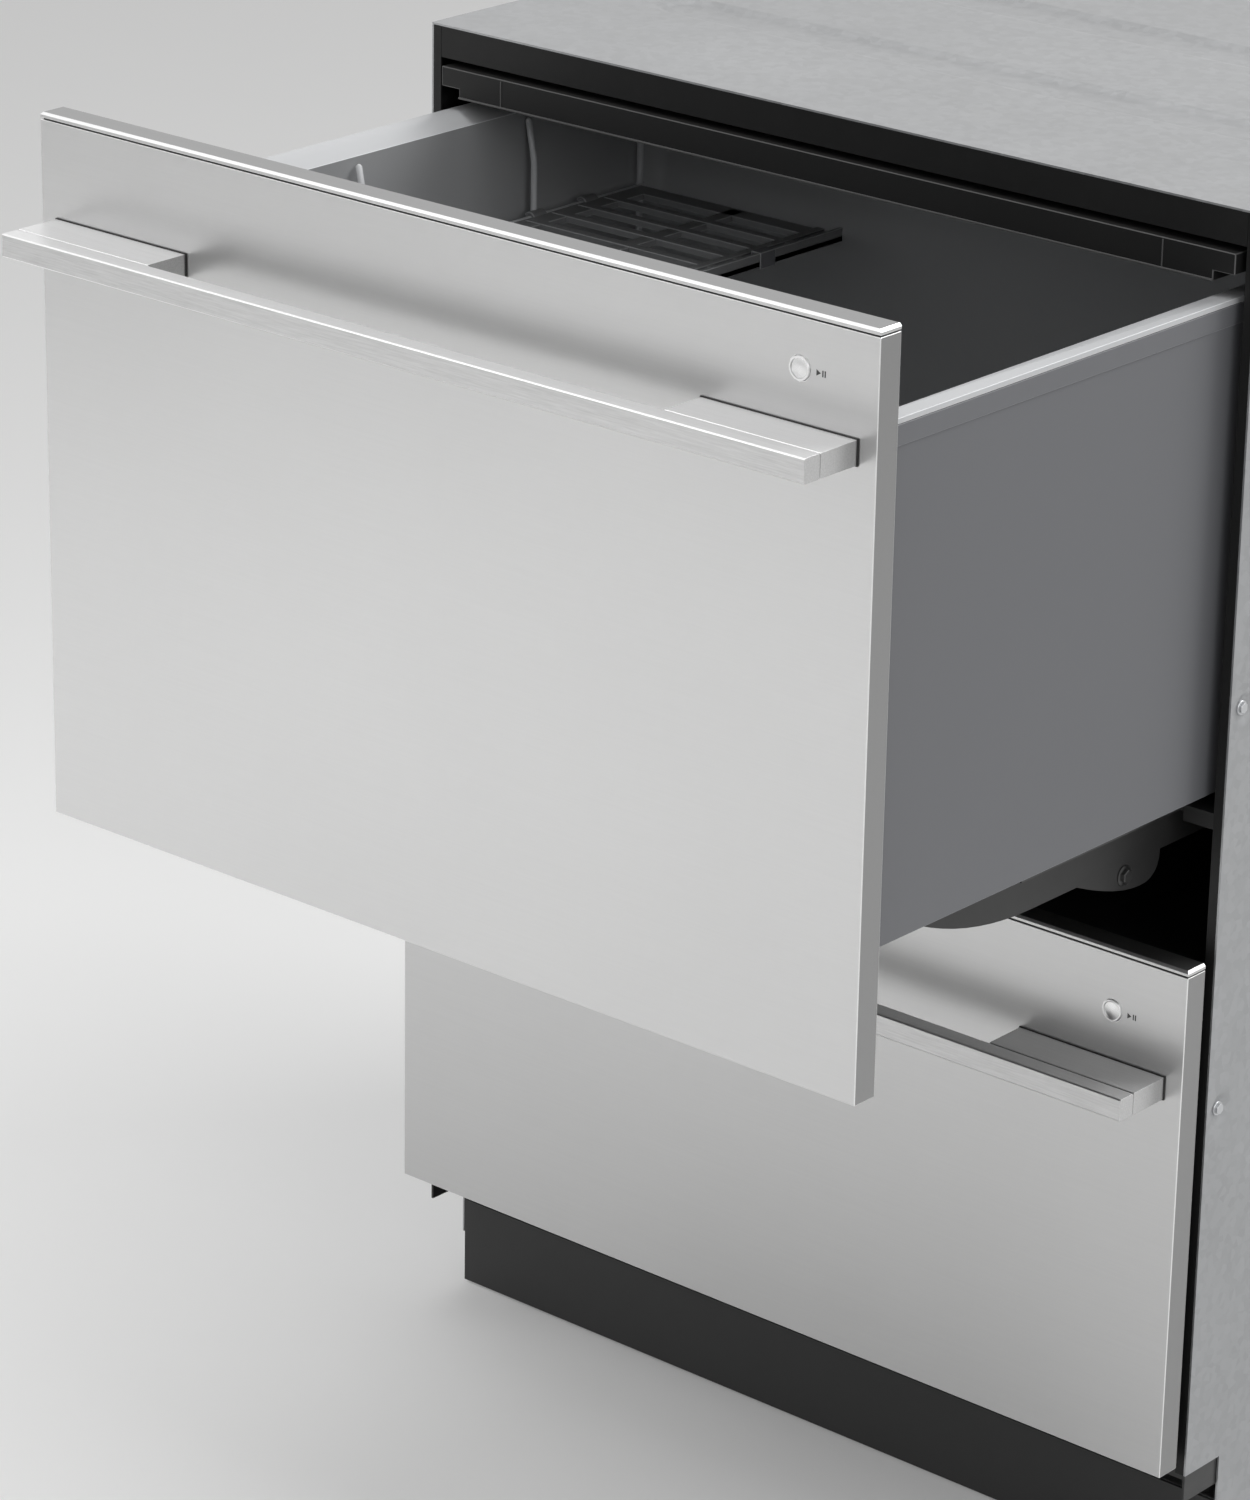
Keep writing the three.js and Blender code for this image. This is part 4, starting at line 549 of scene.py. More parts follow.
# ================================================================ objects and their edges
SHARP_ANGLE = 40
BEVEL_STEPS = 2
FLAT_ANGLE = 0.5
WELD_REACH = 0.00001


def new_object(name, data):
    made = bpy.data.objects.new(name, data)
    bpy.context.scene.collection.objects.link(made)
    return made


def round_edges(piece, width, edge_slot):
    """Bevels a piece's sharp edges; the bevel can have a material slot of its own."""
    bevel = piece.modifiers.new("rounded_edges", "BEVEL")
    bevel.width = width
    bevel.segments = BEVEL_STEPS
    bevel.limit_method = "ANGLE"
    bevel.angle_limit = math.radians(SHARP_ANGLE)
    bevel.material = edge_slot
    shading = piece.modifiers.new("flat_faces", "WEIGHTED_NORMAL")
    shading.keep_sharp = False


def crisp_edges(piece):
    split = piece.modifiers.new("crisp_edges", "EDGE_SPLIT")
    split.split_angle = math.radians(SHARP_ANGLE)


def join_flat_faces(piece):
    """Joins the triangles of each flat side, so that no seam shows across it."""
    joined = piece.modifiers.new("joined_faces", "DECIMATE")
    joined.decimate_type = "DISSOLVE"
    joined.angle_limit = math.radians(FLAT_ANGLE)


# ================================================================ frame pieces that stay
SQUARE_ON = 0.95


def finish_node(name, *materials, width=0.0, edge_slot=-1, pick=None, joined=False):
    """Gives a CAD node its materials and rounds its edges; pick chooses a slot for each face."""
    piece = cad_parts[name]
    mesh = piece.data
    mesh.materials.clear()
    for material in materials:
        mesh.materials.append(material)
    normals = mesh.attributes.get("custom_normal")
    if normals is not None:
        mesh.attributes.remove(normals)
    for face in mesh.polygons:
        face.use_smooth = True
        face.material_index = pick(face) if pick else 0
    weld = piece.modifiers.new("weld", "WELD")
    weld.merge_threshold = WELD_REACH
    if joined:
        join_flat_faces(piece)
    if width:
        round_edges(piece, width, edge_slot)
    else:
        crisp_edges(piece)


def top_or_sloping(face):
    """Slot 2 for a top face, slot 1 for a chamfer and slot 0 for the other square faces."""
    if face.normal.z > SQUARE_ON:
        return 2
    return int(max(abs(part) for part in face.normal) < SQUARE_ON)


def flank(face):
    """Slot 2 for a side face, which takes the door's painted shade, and slot 0 for the rest."""
    return 2 if abs(face.normal.x) > SQUARE_ON else 0


def finish_chassis():
    finish_node("chassis_base_pan", ZINC_SHEET)
    finish_node("chassis_mid_shelf", BLACK_PAINT)
    finish_node("toe_kick", KICK_PAINT, width=0.3 * MM)
    finish_node("water_inlet_valve", VALVE_PLASTIC, width=0.8 * MM)
    finish_node("power_inlet_box", INLET_PLASTIC, width=0.8 * MM)


def finish_door(drawer):
    # The skin's bevels take the painted highlight steel and its side faces the painted shade steel.
    finish_node(
        drawer + "_door_skin",
        DOOR_STEEL,
        HIGHLIGHT_STEEL,
        SHADED_FLANK_STEEL,
        width=0.4 * MM,
        edge_slot=1,
        pick=flank,
        joined=True,
    )
    finish_node(drawer + "_door_liner", LINER_PLASTIC)
    # The cap's chamfers take the painted highlight steel and its top a painted shade.
    finish_node(
        drawer + "_door_cap",
        DOOR_STEEL,
        HIGHLIGHT_STEEL,
        CAP_TOP_SHADE,
        width=0.15 * MM,
        pick=top_or_sloping,
    )
    bars = [drawer + "_handle_bar"] + [f"{drawer}_handle_block_{side}" for side in SIDES]
    # The handle's chamfers and tops take painted highlights.
    for bar in bars:
        finish_node(bar, HANDLE_STEEL, HIGHLIGHT_STEEL, HANDLE_TOP_HIGHLIGHT, width=0.2 * MM, pick=top_or_sloping)


def finish_tub(drawer):
    # Faces below the rim band take the darker copy of the tub plastic, a painted shade.
    wall_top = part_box(drawer + "_tub")[1].z - TUB_RIM_BAND
    # The tub's rounded edges take a paler plastic, a painted highlight.
    finish_node(
        drawer + "_tub",
        TUB_RIM,
        TUB_WALL_SHADE,
        RIM_HIGHLIGHT,
        width=0.35 * MM,
        edge_slot=2,
        pick=lambda face: int(face.center.z < wall_top),
    )
    finish_node(drawer + "_tub_carrier", CARRIER_PLASTIC)
    finish_node(drawer + "_wash_motor", MOTOR_BODY, width=0.6 * MM)
    finish_node(drawer + "_filter_plate", FILTER_PLASTIC)
    finish_node(drawer + "_spray_arm", WASH_PLASTIC, width=0.6 * MM)
    # The lid's rounded edges take the paler grey, a painted highlight.
    finish_node(drawer + "_tub_lid", LID_PLASTIC, LID_HIGHLIGHT, width=0.6 * MM, edge_slot=1)
    finish_node(drawer + "_lid_seal", SEAL_RUBBER, width=0.3 * MM)
    for side in SIDES:
        # The claddings' rounded edges take the paler slate, a painted highlight.
        finish_node(
            f"{drawer}_side_cladding_{side}", SLATE_PLASTIC, SLATE_HIGHLIGHT, width=0.35 * MM, edge_slot=1
        )
        finish_node(f"{drawer}_fixed_rail_{side}", RAIL_PAINT)
        finish_node(f"{drawer}_middle_rail_{side}", RAIL_PAINT)


def finish_dispenser():
    finish_node("upper_detergent_dispenser", DISPENSER_PLASTIC, width=0.6 * MM)
    finish_node("upper_dispenser_lid", DISPENSER_LID, width=0.4 * MM)


# ================================================================ wire racks
def new_wires(name, runs, body, node):
    """Round coated wires, one spline for each run of points, in place of a CAD node."""
    curve = bpy.data.curves.new(name, "CURVE")
    curve.dimensions = "3D"
    curve.bevel_depth = WIRE_RADIUS
    curve.bevel_resolution = WIRE_SIDES
    curve.use_fill_caps = True
    for points, closed in runs:
        spline = curve.splines.new("POLY")
        spline.points.add(len(points) - 1)
        for target, (place, share) in zip(spline.points, points):
            target.co = (*place, 1)
            target.radius = share
        spline.use_cyclic_u = closed
        spline.use_smooth = True
    curve.materials.append(WIRE_COAT)
    piece = new_object(name, curve)
    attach(piece, body)
    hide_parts(node)


def plain_run(*places):
    return [(Vector(place), 1.0) for place in places], False


def tine_run(foot, top):
    """A tine: an upright and slightly thinner wire whose tip is rounded off."""
    share = TINE_RADIUS / WIRE_RADIUS
    foot, top = Vector(foot), Vector(top)
    up = (top - foot).normalized()
    tip = [(top - up * (back * TINE_TIP_LENGTH), thick * share) for back, thick in TINE_TIP]
    return [(foot, share)] + tip, False


def loop_run(lo, hi, z):
    """A closed rectangle of wire with bent corners."""
    radius = RACK_CORNER_RADIUS
    steps = RACK_CORNER_STEPS
    corners = [
        (hi.x - radius, hi.y - radius, 0),
        (lo.x + radius, hi.y - radius, 1),
        (lo.x + radius, lo.y + radius, 2),
        (hi.x - radius, lo.y + radius, 3),
    ]
    points = []
    for x, y, quarter in corners:
        for step in range(steps + 1):
            angle = math.pi / 2 * (quarter + step / steps)
            place = Vector((x + radius * math.cos(angle), y + radius * math.sin(angle), z))
            points.append((place, 1.0))
    return points, True


def rack_runs(drawer):
    """The loops, grid, posts and fixed tines of one drawer's rack."""
    box_lo, box_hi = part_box(drawer + "_base_rack")
    inset = Vector((WIRE_RADIUS, WIRE_RADIUS, 0))
    lo = Vector((-box_hi.x, box_lo.y, box_lo.z)) + inset
    hi = box_hi - inset
    base = box_lo.z + WIRE_RADIUS
    cross = base + 2 * WIRE_RADIUS - WELD_SINK
    rail = base + RACK_RAIL_RISE
    runs = [loop_run(lo, hi, base), loop_run(lo, hi, rail)]
    for place in LONG_WIRE_PLACES:
        x = place * MM
        runs.append(plain_run((x, lo.y, base), (x, hi.y, base)))
    pitch = (hi.y - lo.y) / (CROSS_WIRE_COUNT + 1)
    for index in range(CROSS_WIRE_COUNT):
        y = lo.y + pitch * (index + 1)
        runs.append(plain_run((lo.x, y, cross), (hi.x, y, cross)))
    span = hi.y - lo.y - 2 * RACK_CORNER_RADIUS
    for index in range(RACK_POST_COUNT):
        y = lo.y + RACK_CORNER_RADIUS + span * index / (RACK_POST_COUNT - 1)
        for x in (lo.x, hi.x):
            runs.append(plain_run((x, y, base), (x, y, rail)))
    top = cross + TINE_HEIGHT
    for row in TINE_ROWS[drawer]:
        for index in range(TINE_COUNT):
            y = lo.y + TINE_START + TINE_PITCH * index
            runs.append(tine_run((row * MM, y, base), (row * MM, y, top)))
    return runs, lo, hi, base


def bent_tall_wire(x, y, foot, knee, top):
    """A tall side wire: upright, then leaning out to the wall above its knee."""
    bend = TALL_WIRE_BEND
    points = [(Vector((x, y, foot)), 1.0)]
    for step in range(TALL_WIRE_BEND_STEPS + 1):
        share = step / TALL_WIRE_BEND_STEPS
        lean = TALL_WIRE_LEAN * 0.25 * share * share
        points.append((Vector((x - lean, y, knee - bend + 2 * bend * share)), 1.0))
    points.append((Vector((x - TALL_WIRE_LEAN, y, top - TINE_TIP_LENGTH)), 1.0))
    points.append((Vector((x - TALL_WIRE_LEAN, y, top)), 0.4))
    return points, False


def make_upper_rack():
    runs, lo, hi, base = rack_runs("upper")
    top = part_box("upper_base_rack")[1].z
    knee = top - TALL_WIRE_KNEE_DROP
    x = lo.x - TALL_WIRE_INSET
    places = [hi.y - from_back * MM for from_back in TALL_WIRES_FROM_BACK]
    for y in places:
        runs.append(bent_tall_wire(x, y, base, knee, top))
    hinge_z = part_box("upper_cup_rack")[0].z + CUP_CLIP_RADIUS
    hinge_x = x + HINGE_WIRE_OFFSET
    runs.append(plain_run((hinge_x, min(places), hinge_z), (hinge_x, max(places), hinge_z)))
    runs.append(plain_run((FOLD_ROW_X, lo.y, base), (FOLD_ROW_X, hi.y, base)))
    new_wires("upper_rack_wires", runs, "upper_drawer", "upper_base_rack")


def make_lower_rack():
    runs = rack_runs("lower")[0]
    new_wires("lower_rack_wires", runs, "lower_drawer", "lower_base_rack")


def make_folding_tines():
    lo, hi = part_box("upper_folding_tines")
    axis = lo.z + WIRE_RADIUS
    x = (lo.x + hi.x) / 2
    runs = [plain_run((x, lo.y, axis), (x, hi.y, axis))]
    for index in range(TINE_COUNT):
        y = lo.y + TINE_PITCH * (index + 0.5)
        runs.append(tine_run((x, y, axis), (x, y, hi.z)))
    new_wires("folding_tine_wires", runs, "upper_folding_tines_body", "upper_folding_tines")


# ================================================================ making meshes
OUTWARD = {"front": Vector((0, -1, 0)), "back": Vector((0, 1, 0)), "up": Vector((0, 0, 1))}


def new_mesh_piece(name, mesh_data, materials, body, node=None, bevel=0.0, edge_slot=-1):
    """Turns mesh data into a piece that rides on a body, with rounded or crisp edges."""
    bmesh.ops.recalc_face_normals(mesh_data, faces=mesh_data.faces)
    mesh = bpy.data.meshes.new(name)
    mesh_data.to_mesh(mesh)
    mesh_data.free()
    for material in materials:
        mesh.materials.append(material)
    for face in mesh.polygons:
        face.use_smooth = True
    piece = new_object(name, mesh)
    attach(piece, body)
    if node:
        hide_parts(node)
    if bevel:
        round_edges(piece, bevel, edge_slot)
    else:
        crisp_edges(piece)


def add_block(mesh, lo, hi, slot=0):
    """A square block between two corners."""
    corners = [
        mesh.verts.new((x, y, z))
        for x in (lo[0], hi[0])
        for y in (lo[1], hi[1])
        for z in (lo[2], hi[2])
    ]
    sides = ((0, 1, 3, 2), (4, 6, 7, 5), (0, 4, 5, 1), (2, 3, 7, 6), (0, 2, 6, 4), (1, 5, 7, 3))
    for side in sides:
        face = mesh.faces.new([corners[index] for index in side])
        face.material_index = slot


def facing(seat, outward):
    """Places a turned form on its seat, with its axis pointing outward."""
    turn = Vector((0, 0, 1)).rotation_difference(Vector(outward))
    return Matrix.Translation(seat) @ turn.to_matrix().to_4x4()


def add_turned(mesh, place, profile, sides=48, slot=0):
    """A solid turned about its axis; the profile lists radius and height over the seat."""
    rings = []
    for radius, height in profile:
        angles = [2 * math.pi * step / sides for step in range(sides)]
        points = [Vector((radius * math.cos(a), radius * math.sin(a), height)) for a in angles]
        rings.append([mesh.verts.new(place @ point) for point in points])
    faces = [mesh.faces.new(rings[0]), mesh.faces.new(rings[-1])]
    for ring, following in zip(rings, rings[1:]):
        for step in range(sides):
            ahead = (step + 1) % sides
            corners = (ring[step], ring[ahead], following[ahead], following[step])
            faces.append(mesh.faces.new(corners))
    for face in faces:
        face.material_index = slot


def add_hex_screw(mesh, seat, outward):
    """A hexagon head with its own round washer."""
    place = facing(seat, outward)
    washer = [(SCREW_WASHER, 0), (SCREW_WASHER, 0.5 * MM), (SCREW_WASHER - 0.3 * MM, 0.8 * MM)]
    add_turned(mesh, place, washer, 24)
    top = SCREW_HEAD_HEIGHT
    head = [(SCREW_HEAD, 0.6 * MM), (SCREW_HEAD, top - 0.3 * MM), (SCREW_HEAD - 0.4 * MM, top)]
    add_turned(mesh, place, head, 6)


def make_sheet_screws(name, places, outward):
    mesh = bmesh.new()
    for seat in places:
        add_hex_screw(mesh, seat, outward)
    new_mesh_piece(name, mesh, [SCREW_STEEL], "chassis")


# ================================================================ pressed chassis sheets
def grid_lines(low, high, zones, marks):
    """Lines across a sheet: far apart where it is flat and close together in each zone."""
    lines = set(marks) | {low, high}
    count = max(1, round((high - low) / PRESS_COARSE))
    lines |= {low + (high - low) * index / count for index in range(count + 1)}
    for start, end in zones:
        steps = max(1, round((end - start) / PRESS_FINE))
        lines |= {start + (end - start) * index / steps for index in range(steps + 1)}
    spaced = []
    for line in sorted(line for line in lines if low <= line <= high):
        if spaced and line - spaced[-1] < PRESS_NEAREST:
            if line not in marks and line != high:
                continue
            spaced.pop()
        spaced.append(line)
    return spaced


def pressed_in(u, v, swages):
    """How deep the press has pushed the sheet in at one place."""
    deepest = 0.0
    for start, end, half_width, depth in swages:
        run = Vector(end) - Vector(start)
        place = Vector((u, v)) - Vector(start)
        along = max(0.0, min(1.0, place.dot(run) / run.length_squared)) if run.length else 0.0
        away = (place - run * along).length
        share = max(0.0, min(1.0, (half_width - away) / PRESS_SHOULDER))
        deepest = max(deepest, depth * share * share * (3 - 2 * share))
    return deepest


def spread(low, high, shares):
    """Places between two ends, each at its share of the way."""
    return [low + share * (high - low) for share in shares]


def pressings(runs, seats):
    """The long swages and the round screw seats, with their half widths and depths."""
    swages = [(start, end, SWAGE_HALF_WIDTH, SWAGE_DEPTH) for start, end in runs]
    return swages + [(seat, seat, SCREW_SEAT, SCREW_SEAT_DEPTH) for seat in seats]


def add_pressed_sheet(mesh, place, u_span, v_span, swages, kept=None, marks=((), ())):
    """A sheet with pressed swages: slot 0 outside, slot 1 inside, for the painted shade lining; kept
    leaves cells out.
    """
    reach = [half_width + PRESS_FINE for _, _, half_width, _ in swages]
    u_ends = [(end[0] - far, end[0] + far) for swage, far in zip(swages, reach) for end in swage[:2]]
    v_ends = [(end[1] - far, end[1] + far) for swage, far in zip(swages, reach) for end in swage[:2]]
    us = grid_lines(*u_span, u_ends, marks[0])
    vs = grid_lines(*v_span, v_ends, marks[1])
    shells = {0: {}, 1: {}}
    for i, u in enumerate(us):
        for j, v in enumerate(vs):
            depth = pressed_in(u, v, swages)
            for shell in shells:
                shells[shell][i, j] = mesh.verts.new(place(u, v, depth + shell * CHASSIS_SHEET))
    cells = set()
    for i in range(len(us) - 1):
        for j in range(len(vs) - 1):
            if kept is None or kept((us[i] + us[i + 1]) / 2, (vs[j] + vs[j + 1]) / 2):
                cells.add((i, j))
    outer, inner = shells[0], shells[1]
    for i, j in sorted(cells):
        corners = [(i, j), (i + 1, j), (i + 1, j + 1), (i, j + 1)]
        mesh.faces.new([outer[corner] for corner in corners])
        mesh.faces.new([inner[corner] for corner in reversed(corners)]).material_index = 1
        beside = [(i, j - 1), (i + 1, j), (i, j + 1), (i - 1, j)]
        for first, second, neighbour in zip(corners, corners[1:] + corners[:1], beside):
            if neighbour not in cells:
                mesh.faces.new((outer[second], outer[first], inner[first], inner[second]))
    loose = [vertex for vertex in mesh.verts if not vertex.link_faces]
    bmesh.ops.delete(mesh, geom=loose, context="VERTS")


def make_side_panel(side):
    """A side panel with upright swages, sunk screw seats and its narrow front lip."""
    name = f"chassis_{side}_side"
    lo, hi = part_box(name)
    sign = SIDES[side]
    face = max(abs(lo.x), abs(hi.x))
    notch_back = lo.y + PLINTH_NOTCH_DEPTH
    notch_top = PLINTH_NOTCH_TOP
    columns = spread(lo.y, hi.y, QUARTERS)
    runs = [((y, low), (y, high)) for y in columns for low, high in SWAGE_LEVELS]
    seats = [(hi.y - SCREW_INSET, z) for z in spread(lo.z, hi.z, (0.06, 0.35, 0.65, 0.94))]
    seats += [(lo.y + SCREW_INSET, z) for z in spread(lo.z, hi.z, (0.35, 0.65, 0.94))]
    mesh = bmesh.new()
    add_pressed_sheet(
        mesh,
        lambda y, z, depth: Vector((sign * (face - depth), y, z)),
        (lo.y, hi.y),
        (lo.z, hi.z),
        pressings(runs, seats),
        lambda y, z: y > notch_back or z > notch_top,
        ((notch_back,), (notch_top,)),
    )
    inner = face - CHASSIS_SHEET
    lip = sorted((sign * inner, sign * (inner - SIDE_LIP_WIDTH)))
    # The front lip takes slot 1, the painted shade lining.
    add_block(mesh, (lip[0], lo.y, notch_top), (lip[1], lo.y + SIDE_LIP_THICKNESS, hi.z), 1)
    new_mesh_piece(f"{side}_side_sheet", mesh, SHEET_SKINS, "chassis", name)
    sunk = face - SCREW_SEAT_DEPTH
    places = [(sign * sunk, y, z) for y, z in seats]
    make_sheet_screws(f"{side}_side_screws", places, (sign, 0, 0))


def make_back_sheet():
    """The back panel, with eight upright swages and screws on three of its sides."""
    name = "chassis_back_panel"
    lo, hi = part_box(name)
    columns = spread(lo.x, hi.x, (0.2, 0.4, 0.6, 0.8))
    runs = [((x, low), (x, high)) for x in columns for low, high in SWAGE_LEVELS]
    seats = []
    for z in spread(lo.z, hi.z, (0.05, 0.35, 0.65, 0.95)):
        seats += [(lo.x + SCREW_INSET, z), (hi.x - SCREW_INSET, z)]
    seats += [(x, hi.z - SCREW_INSET) for x in spread(lo.x, hi.x, (0.3, 0.5, 0.7))]
    mesh = bmesh.new()
    add_pressed_sheet(
        mesh,
        lambda x, z, depth: Vector((x, hi.y - depth, z)),
        (lo.x, hi.x),
        (lo.z, hi.z),
        pressings(runs, seats),
    )
    new_mesh_piece("back_sheet", mesh, SHEET_SKINS, "chassis", name)
    places = [(x, hi.y - SCREW_SEAT_DEPTH, z) for x, z in seats]
    make_sheet_screws("back_screws", places, OUTWARD["back"])


def make_top_sheet():
    """The top panel: pressed swages across it, a rail folded down in front and the lid's guides."""
    name = "chassis_top_panel"
    lo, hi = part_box(name)
    inset = TOP_SWAGE_INSET * (hi.x - lo.x)
    runs = [((lo.x + inset, y), (hi.x - inset, y)) for y in spread(lo.y, hi.y, QUARTERS)]
    seats = []
    for y in spread(lo.y, hi.y, (0.2, 0.5, 0.92)):
        seats += [(lo.x + SCREW_INSET, y), (hi.x - SCREW_INSET, y)]
    mesh = bmesh.new()
    add_pressed_sheet(
        mesh,
        lambda x, y, sunk: Vector((x, y, hi.z - sunk)),
        (lo.x, hi.x),
        (lo.y, hi.y),
        pressings(runs, seats),
    )
    # The front rail and the lid's guides take slot 1, the painted shade lining.
    rail_half = hi.x - CHASSIS_SHEET - SIDE_LIP_WIDTH - SEAT_GAP
    under = hi.z - CHASSIS_SHEET
    rail_front = (-rail_half, lo.y, hi.z - TOP_RAIL_HEIGHT)
    add_block(mesh, rail_front, (rail_half, lo.y + CHASSIS_SHEET, under), 1)
    lid_lo, lid_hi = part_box("upper_tub_lid")
    guide = lid_hi.x + SEAT_GAP
    for start in (lid_lo.y + GUIDE_INSET, lid_hi.y - GUIDE_INSET - GUIDE_LENGTH):
        for sign in SIDES.values():
            x = sorted((sign * guide, sign * (guide + GUIDE_WIDTH)))
            add_block(mesh, (x[0], start, lo.z), (x[1], start + GUIDE_LENGTH, under), 1)
    new_mesh_piece("top_sheet", mesh, SHEET_SKINS, "chassis", name)
    places = [(x, y, hi.z - SCREW_SEAT_DEPTH) for x, y in seats]
    make_sheet_screws("top_screws", places, OUTWARD["up"])


# ================================================================ feet and services
def make_foot(foot):
    """A rubber pad with a rounded rim, a hexagon nut and a threaded stem."""
    name = "levelling_foot_" + foot
    lo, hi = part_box(name)
    middle = Vector(((lo.x + hi.x) / 2, (lo.y + hi.y) / 2, lo.z))
    place = Matrix.Translation(middle)
    radius = (hi.x - lo.x) / 2
    mesh = bmesh.new()
    pad = [
        (radius - 1.2 * MM, 0),
        (radius, 1.2 * MM),
        (radius, 3.0 * MM),
        (radius - 0.8 * MM, 4.0 * MM),
        (radius - 2.6 * MM, 4.6 * MM),
        (radius - 4.0 * MM, 4.9 * MM),
        (FOOT_NUT + 1 * MM, 7.6 * MM),
        (FOOT_NUT, 8.8 * MM),
        (FOOT_STEM, 9.0 * MM),
    ]
    add_turned(mesh, place, pad, 64)
    thread = []
    for turn in range(FOOT_THREAD_TURNS):
        height = 9 * MM + turn * FOOT_THREAD_PITCH
        thread += [(FOOT_STEM - 0.7 * MM, height), (FOOT_STEM, height + FOOT_THREAD_PITCH / 2)]
    thread += [(FOOT_STEM - 0.7 * MM, hi.z - lo.z - 0.5 * MM), (FOOT_STEM - 1.5 * MM, hi.z - lo.z)]
    add_turned(mesh, place, thread, 24, 1)
    nut_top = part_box("chassis_base_pan")[0].z - SEAT_GAP
    nut_low = nut_top - FOOT_NUT_HEIGHT
    nut = [
        (FOOT_NUT - 1 * MM, nut_low),
        (FOOT_NUT, nut_low + 0.8 * MM),
        (FOOT_NUT, nut_top - 0.8 * MM),
        (FOOT_NUT - 1 * MM, nut_top),
    ]
    add_turned(mesh, place, nut, 6, 1)
    skins = [FOOT_RUBBER, SCREW_STEEL]
    new_mesh_piece(f"foot_{foot}_detail", mesh, skins, "foot_" + foot, name)


def make_services():
    """Threads on the water spout, the valve's coil, and the power box's gland nut and lid."""
    lo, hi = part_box("water_inlet_valve")
    x, z = (lo.x + hi.x) / 2, (lo.z + hi.z) / 2
    back = hi.y - SPOUT_LENGTH
    spout = facing((x, back, z), OUTWARD["back"])
    mesh = bmesh.new()
    turns = int((SPOUT_LENGTH - 4 * MM) / SPOUT_PITCH)
    for turn in range(turns):
        start = 2 * MM + turn * SPOUT_PITCH
        ridge = [
            (SPOUT_RADIUS - 0.3 * MM, start),
            (SPOUT_RADIUS + 0.7 * MM, start + 0.8 * MM),
            (SPOUT_RADIUS - 0.3 * MM, start + 1.6 * MM),
        ]
        add_turned(mesh, spout, ridge, 40)
    coil = facing((x, lo.y + 0.45 * (back - lo.y), hi.z), OUTWARD["up"])
    add_turned(mesh, coil, [(9 * MM, 0), (9 * MM, 8 * MM), (8 * MM, 9.4 * MM), (3 * MM, 10 * MM)], 32)
    new_mesh_piece("water_valve_details", mesh, [VALVE_PLASTIC], "chassis")
    lo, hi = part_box("power_inlet_box")
    x, z = (lo.x + hi.x) / 2, (lo.z + hi.z) / 2
    gland = facing((x, hi.y - GLAND_LENGTH, z), OUTWARD["back"])
    mesh = bmesh.new()
    nut = [
        (GLAND_RADIUS, 2 * MM),
        (GLAND_RADIUS + 2 * MM, 2.6 * MM),
        (GLAND_RADIUS + 2 * MM, 7.4 * MM),
        (GLAND_RADIUS, 8 * MM),
    ]
    add_turned(mesh, gland, nut, 6)
    lid_low = (lo.x + 4 * MM, lo.y + 4 * MM, hi.z - 0.2 * MM)
    add_block(mesh, lid_low, (hi.x - 4 * MM, hi.y - GLAND_LENGTH - 4 * MM, hi.z + 1.2 * MM))
    new_mesh_piece(
        "power_inlet_details", mesh, [INLET_PLASTIC], "chassis", bevel=0.4 * MM
    )


# ================================================================ cup rack, basket and dispenser
def make_cup_rack():
    """A slatted shelf with a raised right border and clips on its hinge wire."""
    lo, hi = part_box("upper_cup_rack")
    hinge = Vector((lo.x + CUP_CLIP_RADIUS, 0, lo.z + CUP_CLIP_RADIUS))
    low, high = hinge.z - CUP_SHELF_HALF, hinge.z + CUP_SHELF_HALF
    start = hinge.x + CUP_CLIP_RADIUS - 2 * MM
    end = hi.x - 0.6 * MM
    mesh = bmesh.new()
    for x0, x1 in ((start, start + CUP_BORDER), (end - CUP_BORDER, end)):
        add_block(mesh, (x0, lo.y, low), (x1, hi.y, high))
    for y0, y1 in ((lo.y, lo.y + CUP_BORDER), (hi.y - CUP_BORDER, hi.y)):
        add_block(mesh, (start + CUP_BORDER - 1 * MM, y0, low), (end - CUP_BORDER + 1 * MM, y1, high))
    middle = (start + end) / 2
    rib = (middle - CUP_RIB_HALF, lo.y + 2 * MM, low)
    add_block(mesh, rib, (middle + CUP_RIB_HALF, hi.y - 2 * MM, high))
    span = hi.y - lo.y - 2 * CUP_BORDER + CUP_SLAT
    pitch = span / CUP_SLOTS
    for index in range(1, CUP_SLOTS):
        y = lo.y + CUP_BORDER + pitch * index - CUP_SLAT
        slat = (start + 2 * MM, y, low + 0.4 * MM)
        add_block(mesh, slat, (end - 2 * MM, y + CUP_SLAT, high + 0.5 * MM))
    add_block(mesh, (end - 2.4 * MM, lo.y, low), (end, hi.y, hi.z - 0.3 * MM))
    add_block(mesh, (end - CUP_BORDER - 6 * MM, lo.y, low), (end - CUP_BORDER, hi.y, high + 1.2 * MM))
    for y in spread(lo.y, hi.y, (0.3, 0.7)):
        band = (end - CUP_BAND, y - CUP_BAND, low - 1.2 * MM)
        add_block(mesh, band, (hi.x, y + CUP_BAND, hi.z), 1)
    for y in spread(lo.y, hi.y, (0.2, 0.4, 0.6, 0.8)):
        add_open_clip(mesh, Vector((hinge.x, y - CUP_CLIP_LENGTH / 2, hinge.z)))
    # Slot 2 on the rounded edges is the paler grey, a painted highlight.
    new_mesh_piece(
        "cup_shelf",
        mesh,
        [CUP_RACK_PLASTIC, SLATE_PLASTIC, CUP_RACK_HIGHLIGHT],
        "upper_cup_rack_body",
        "upper_cup_rack",
        bevel=0.5 * MM,
        edge_slot=2,
    )


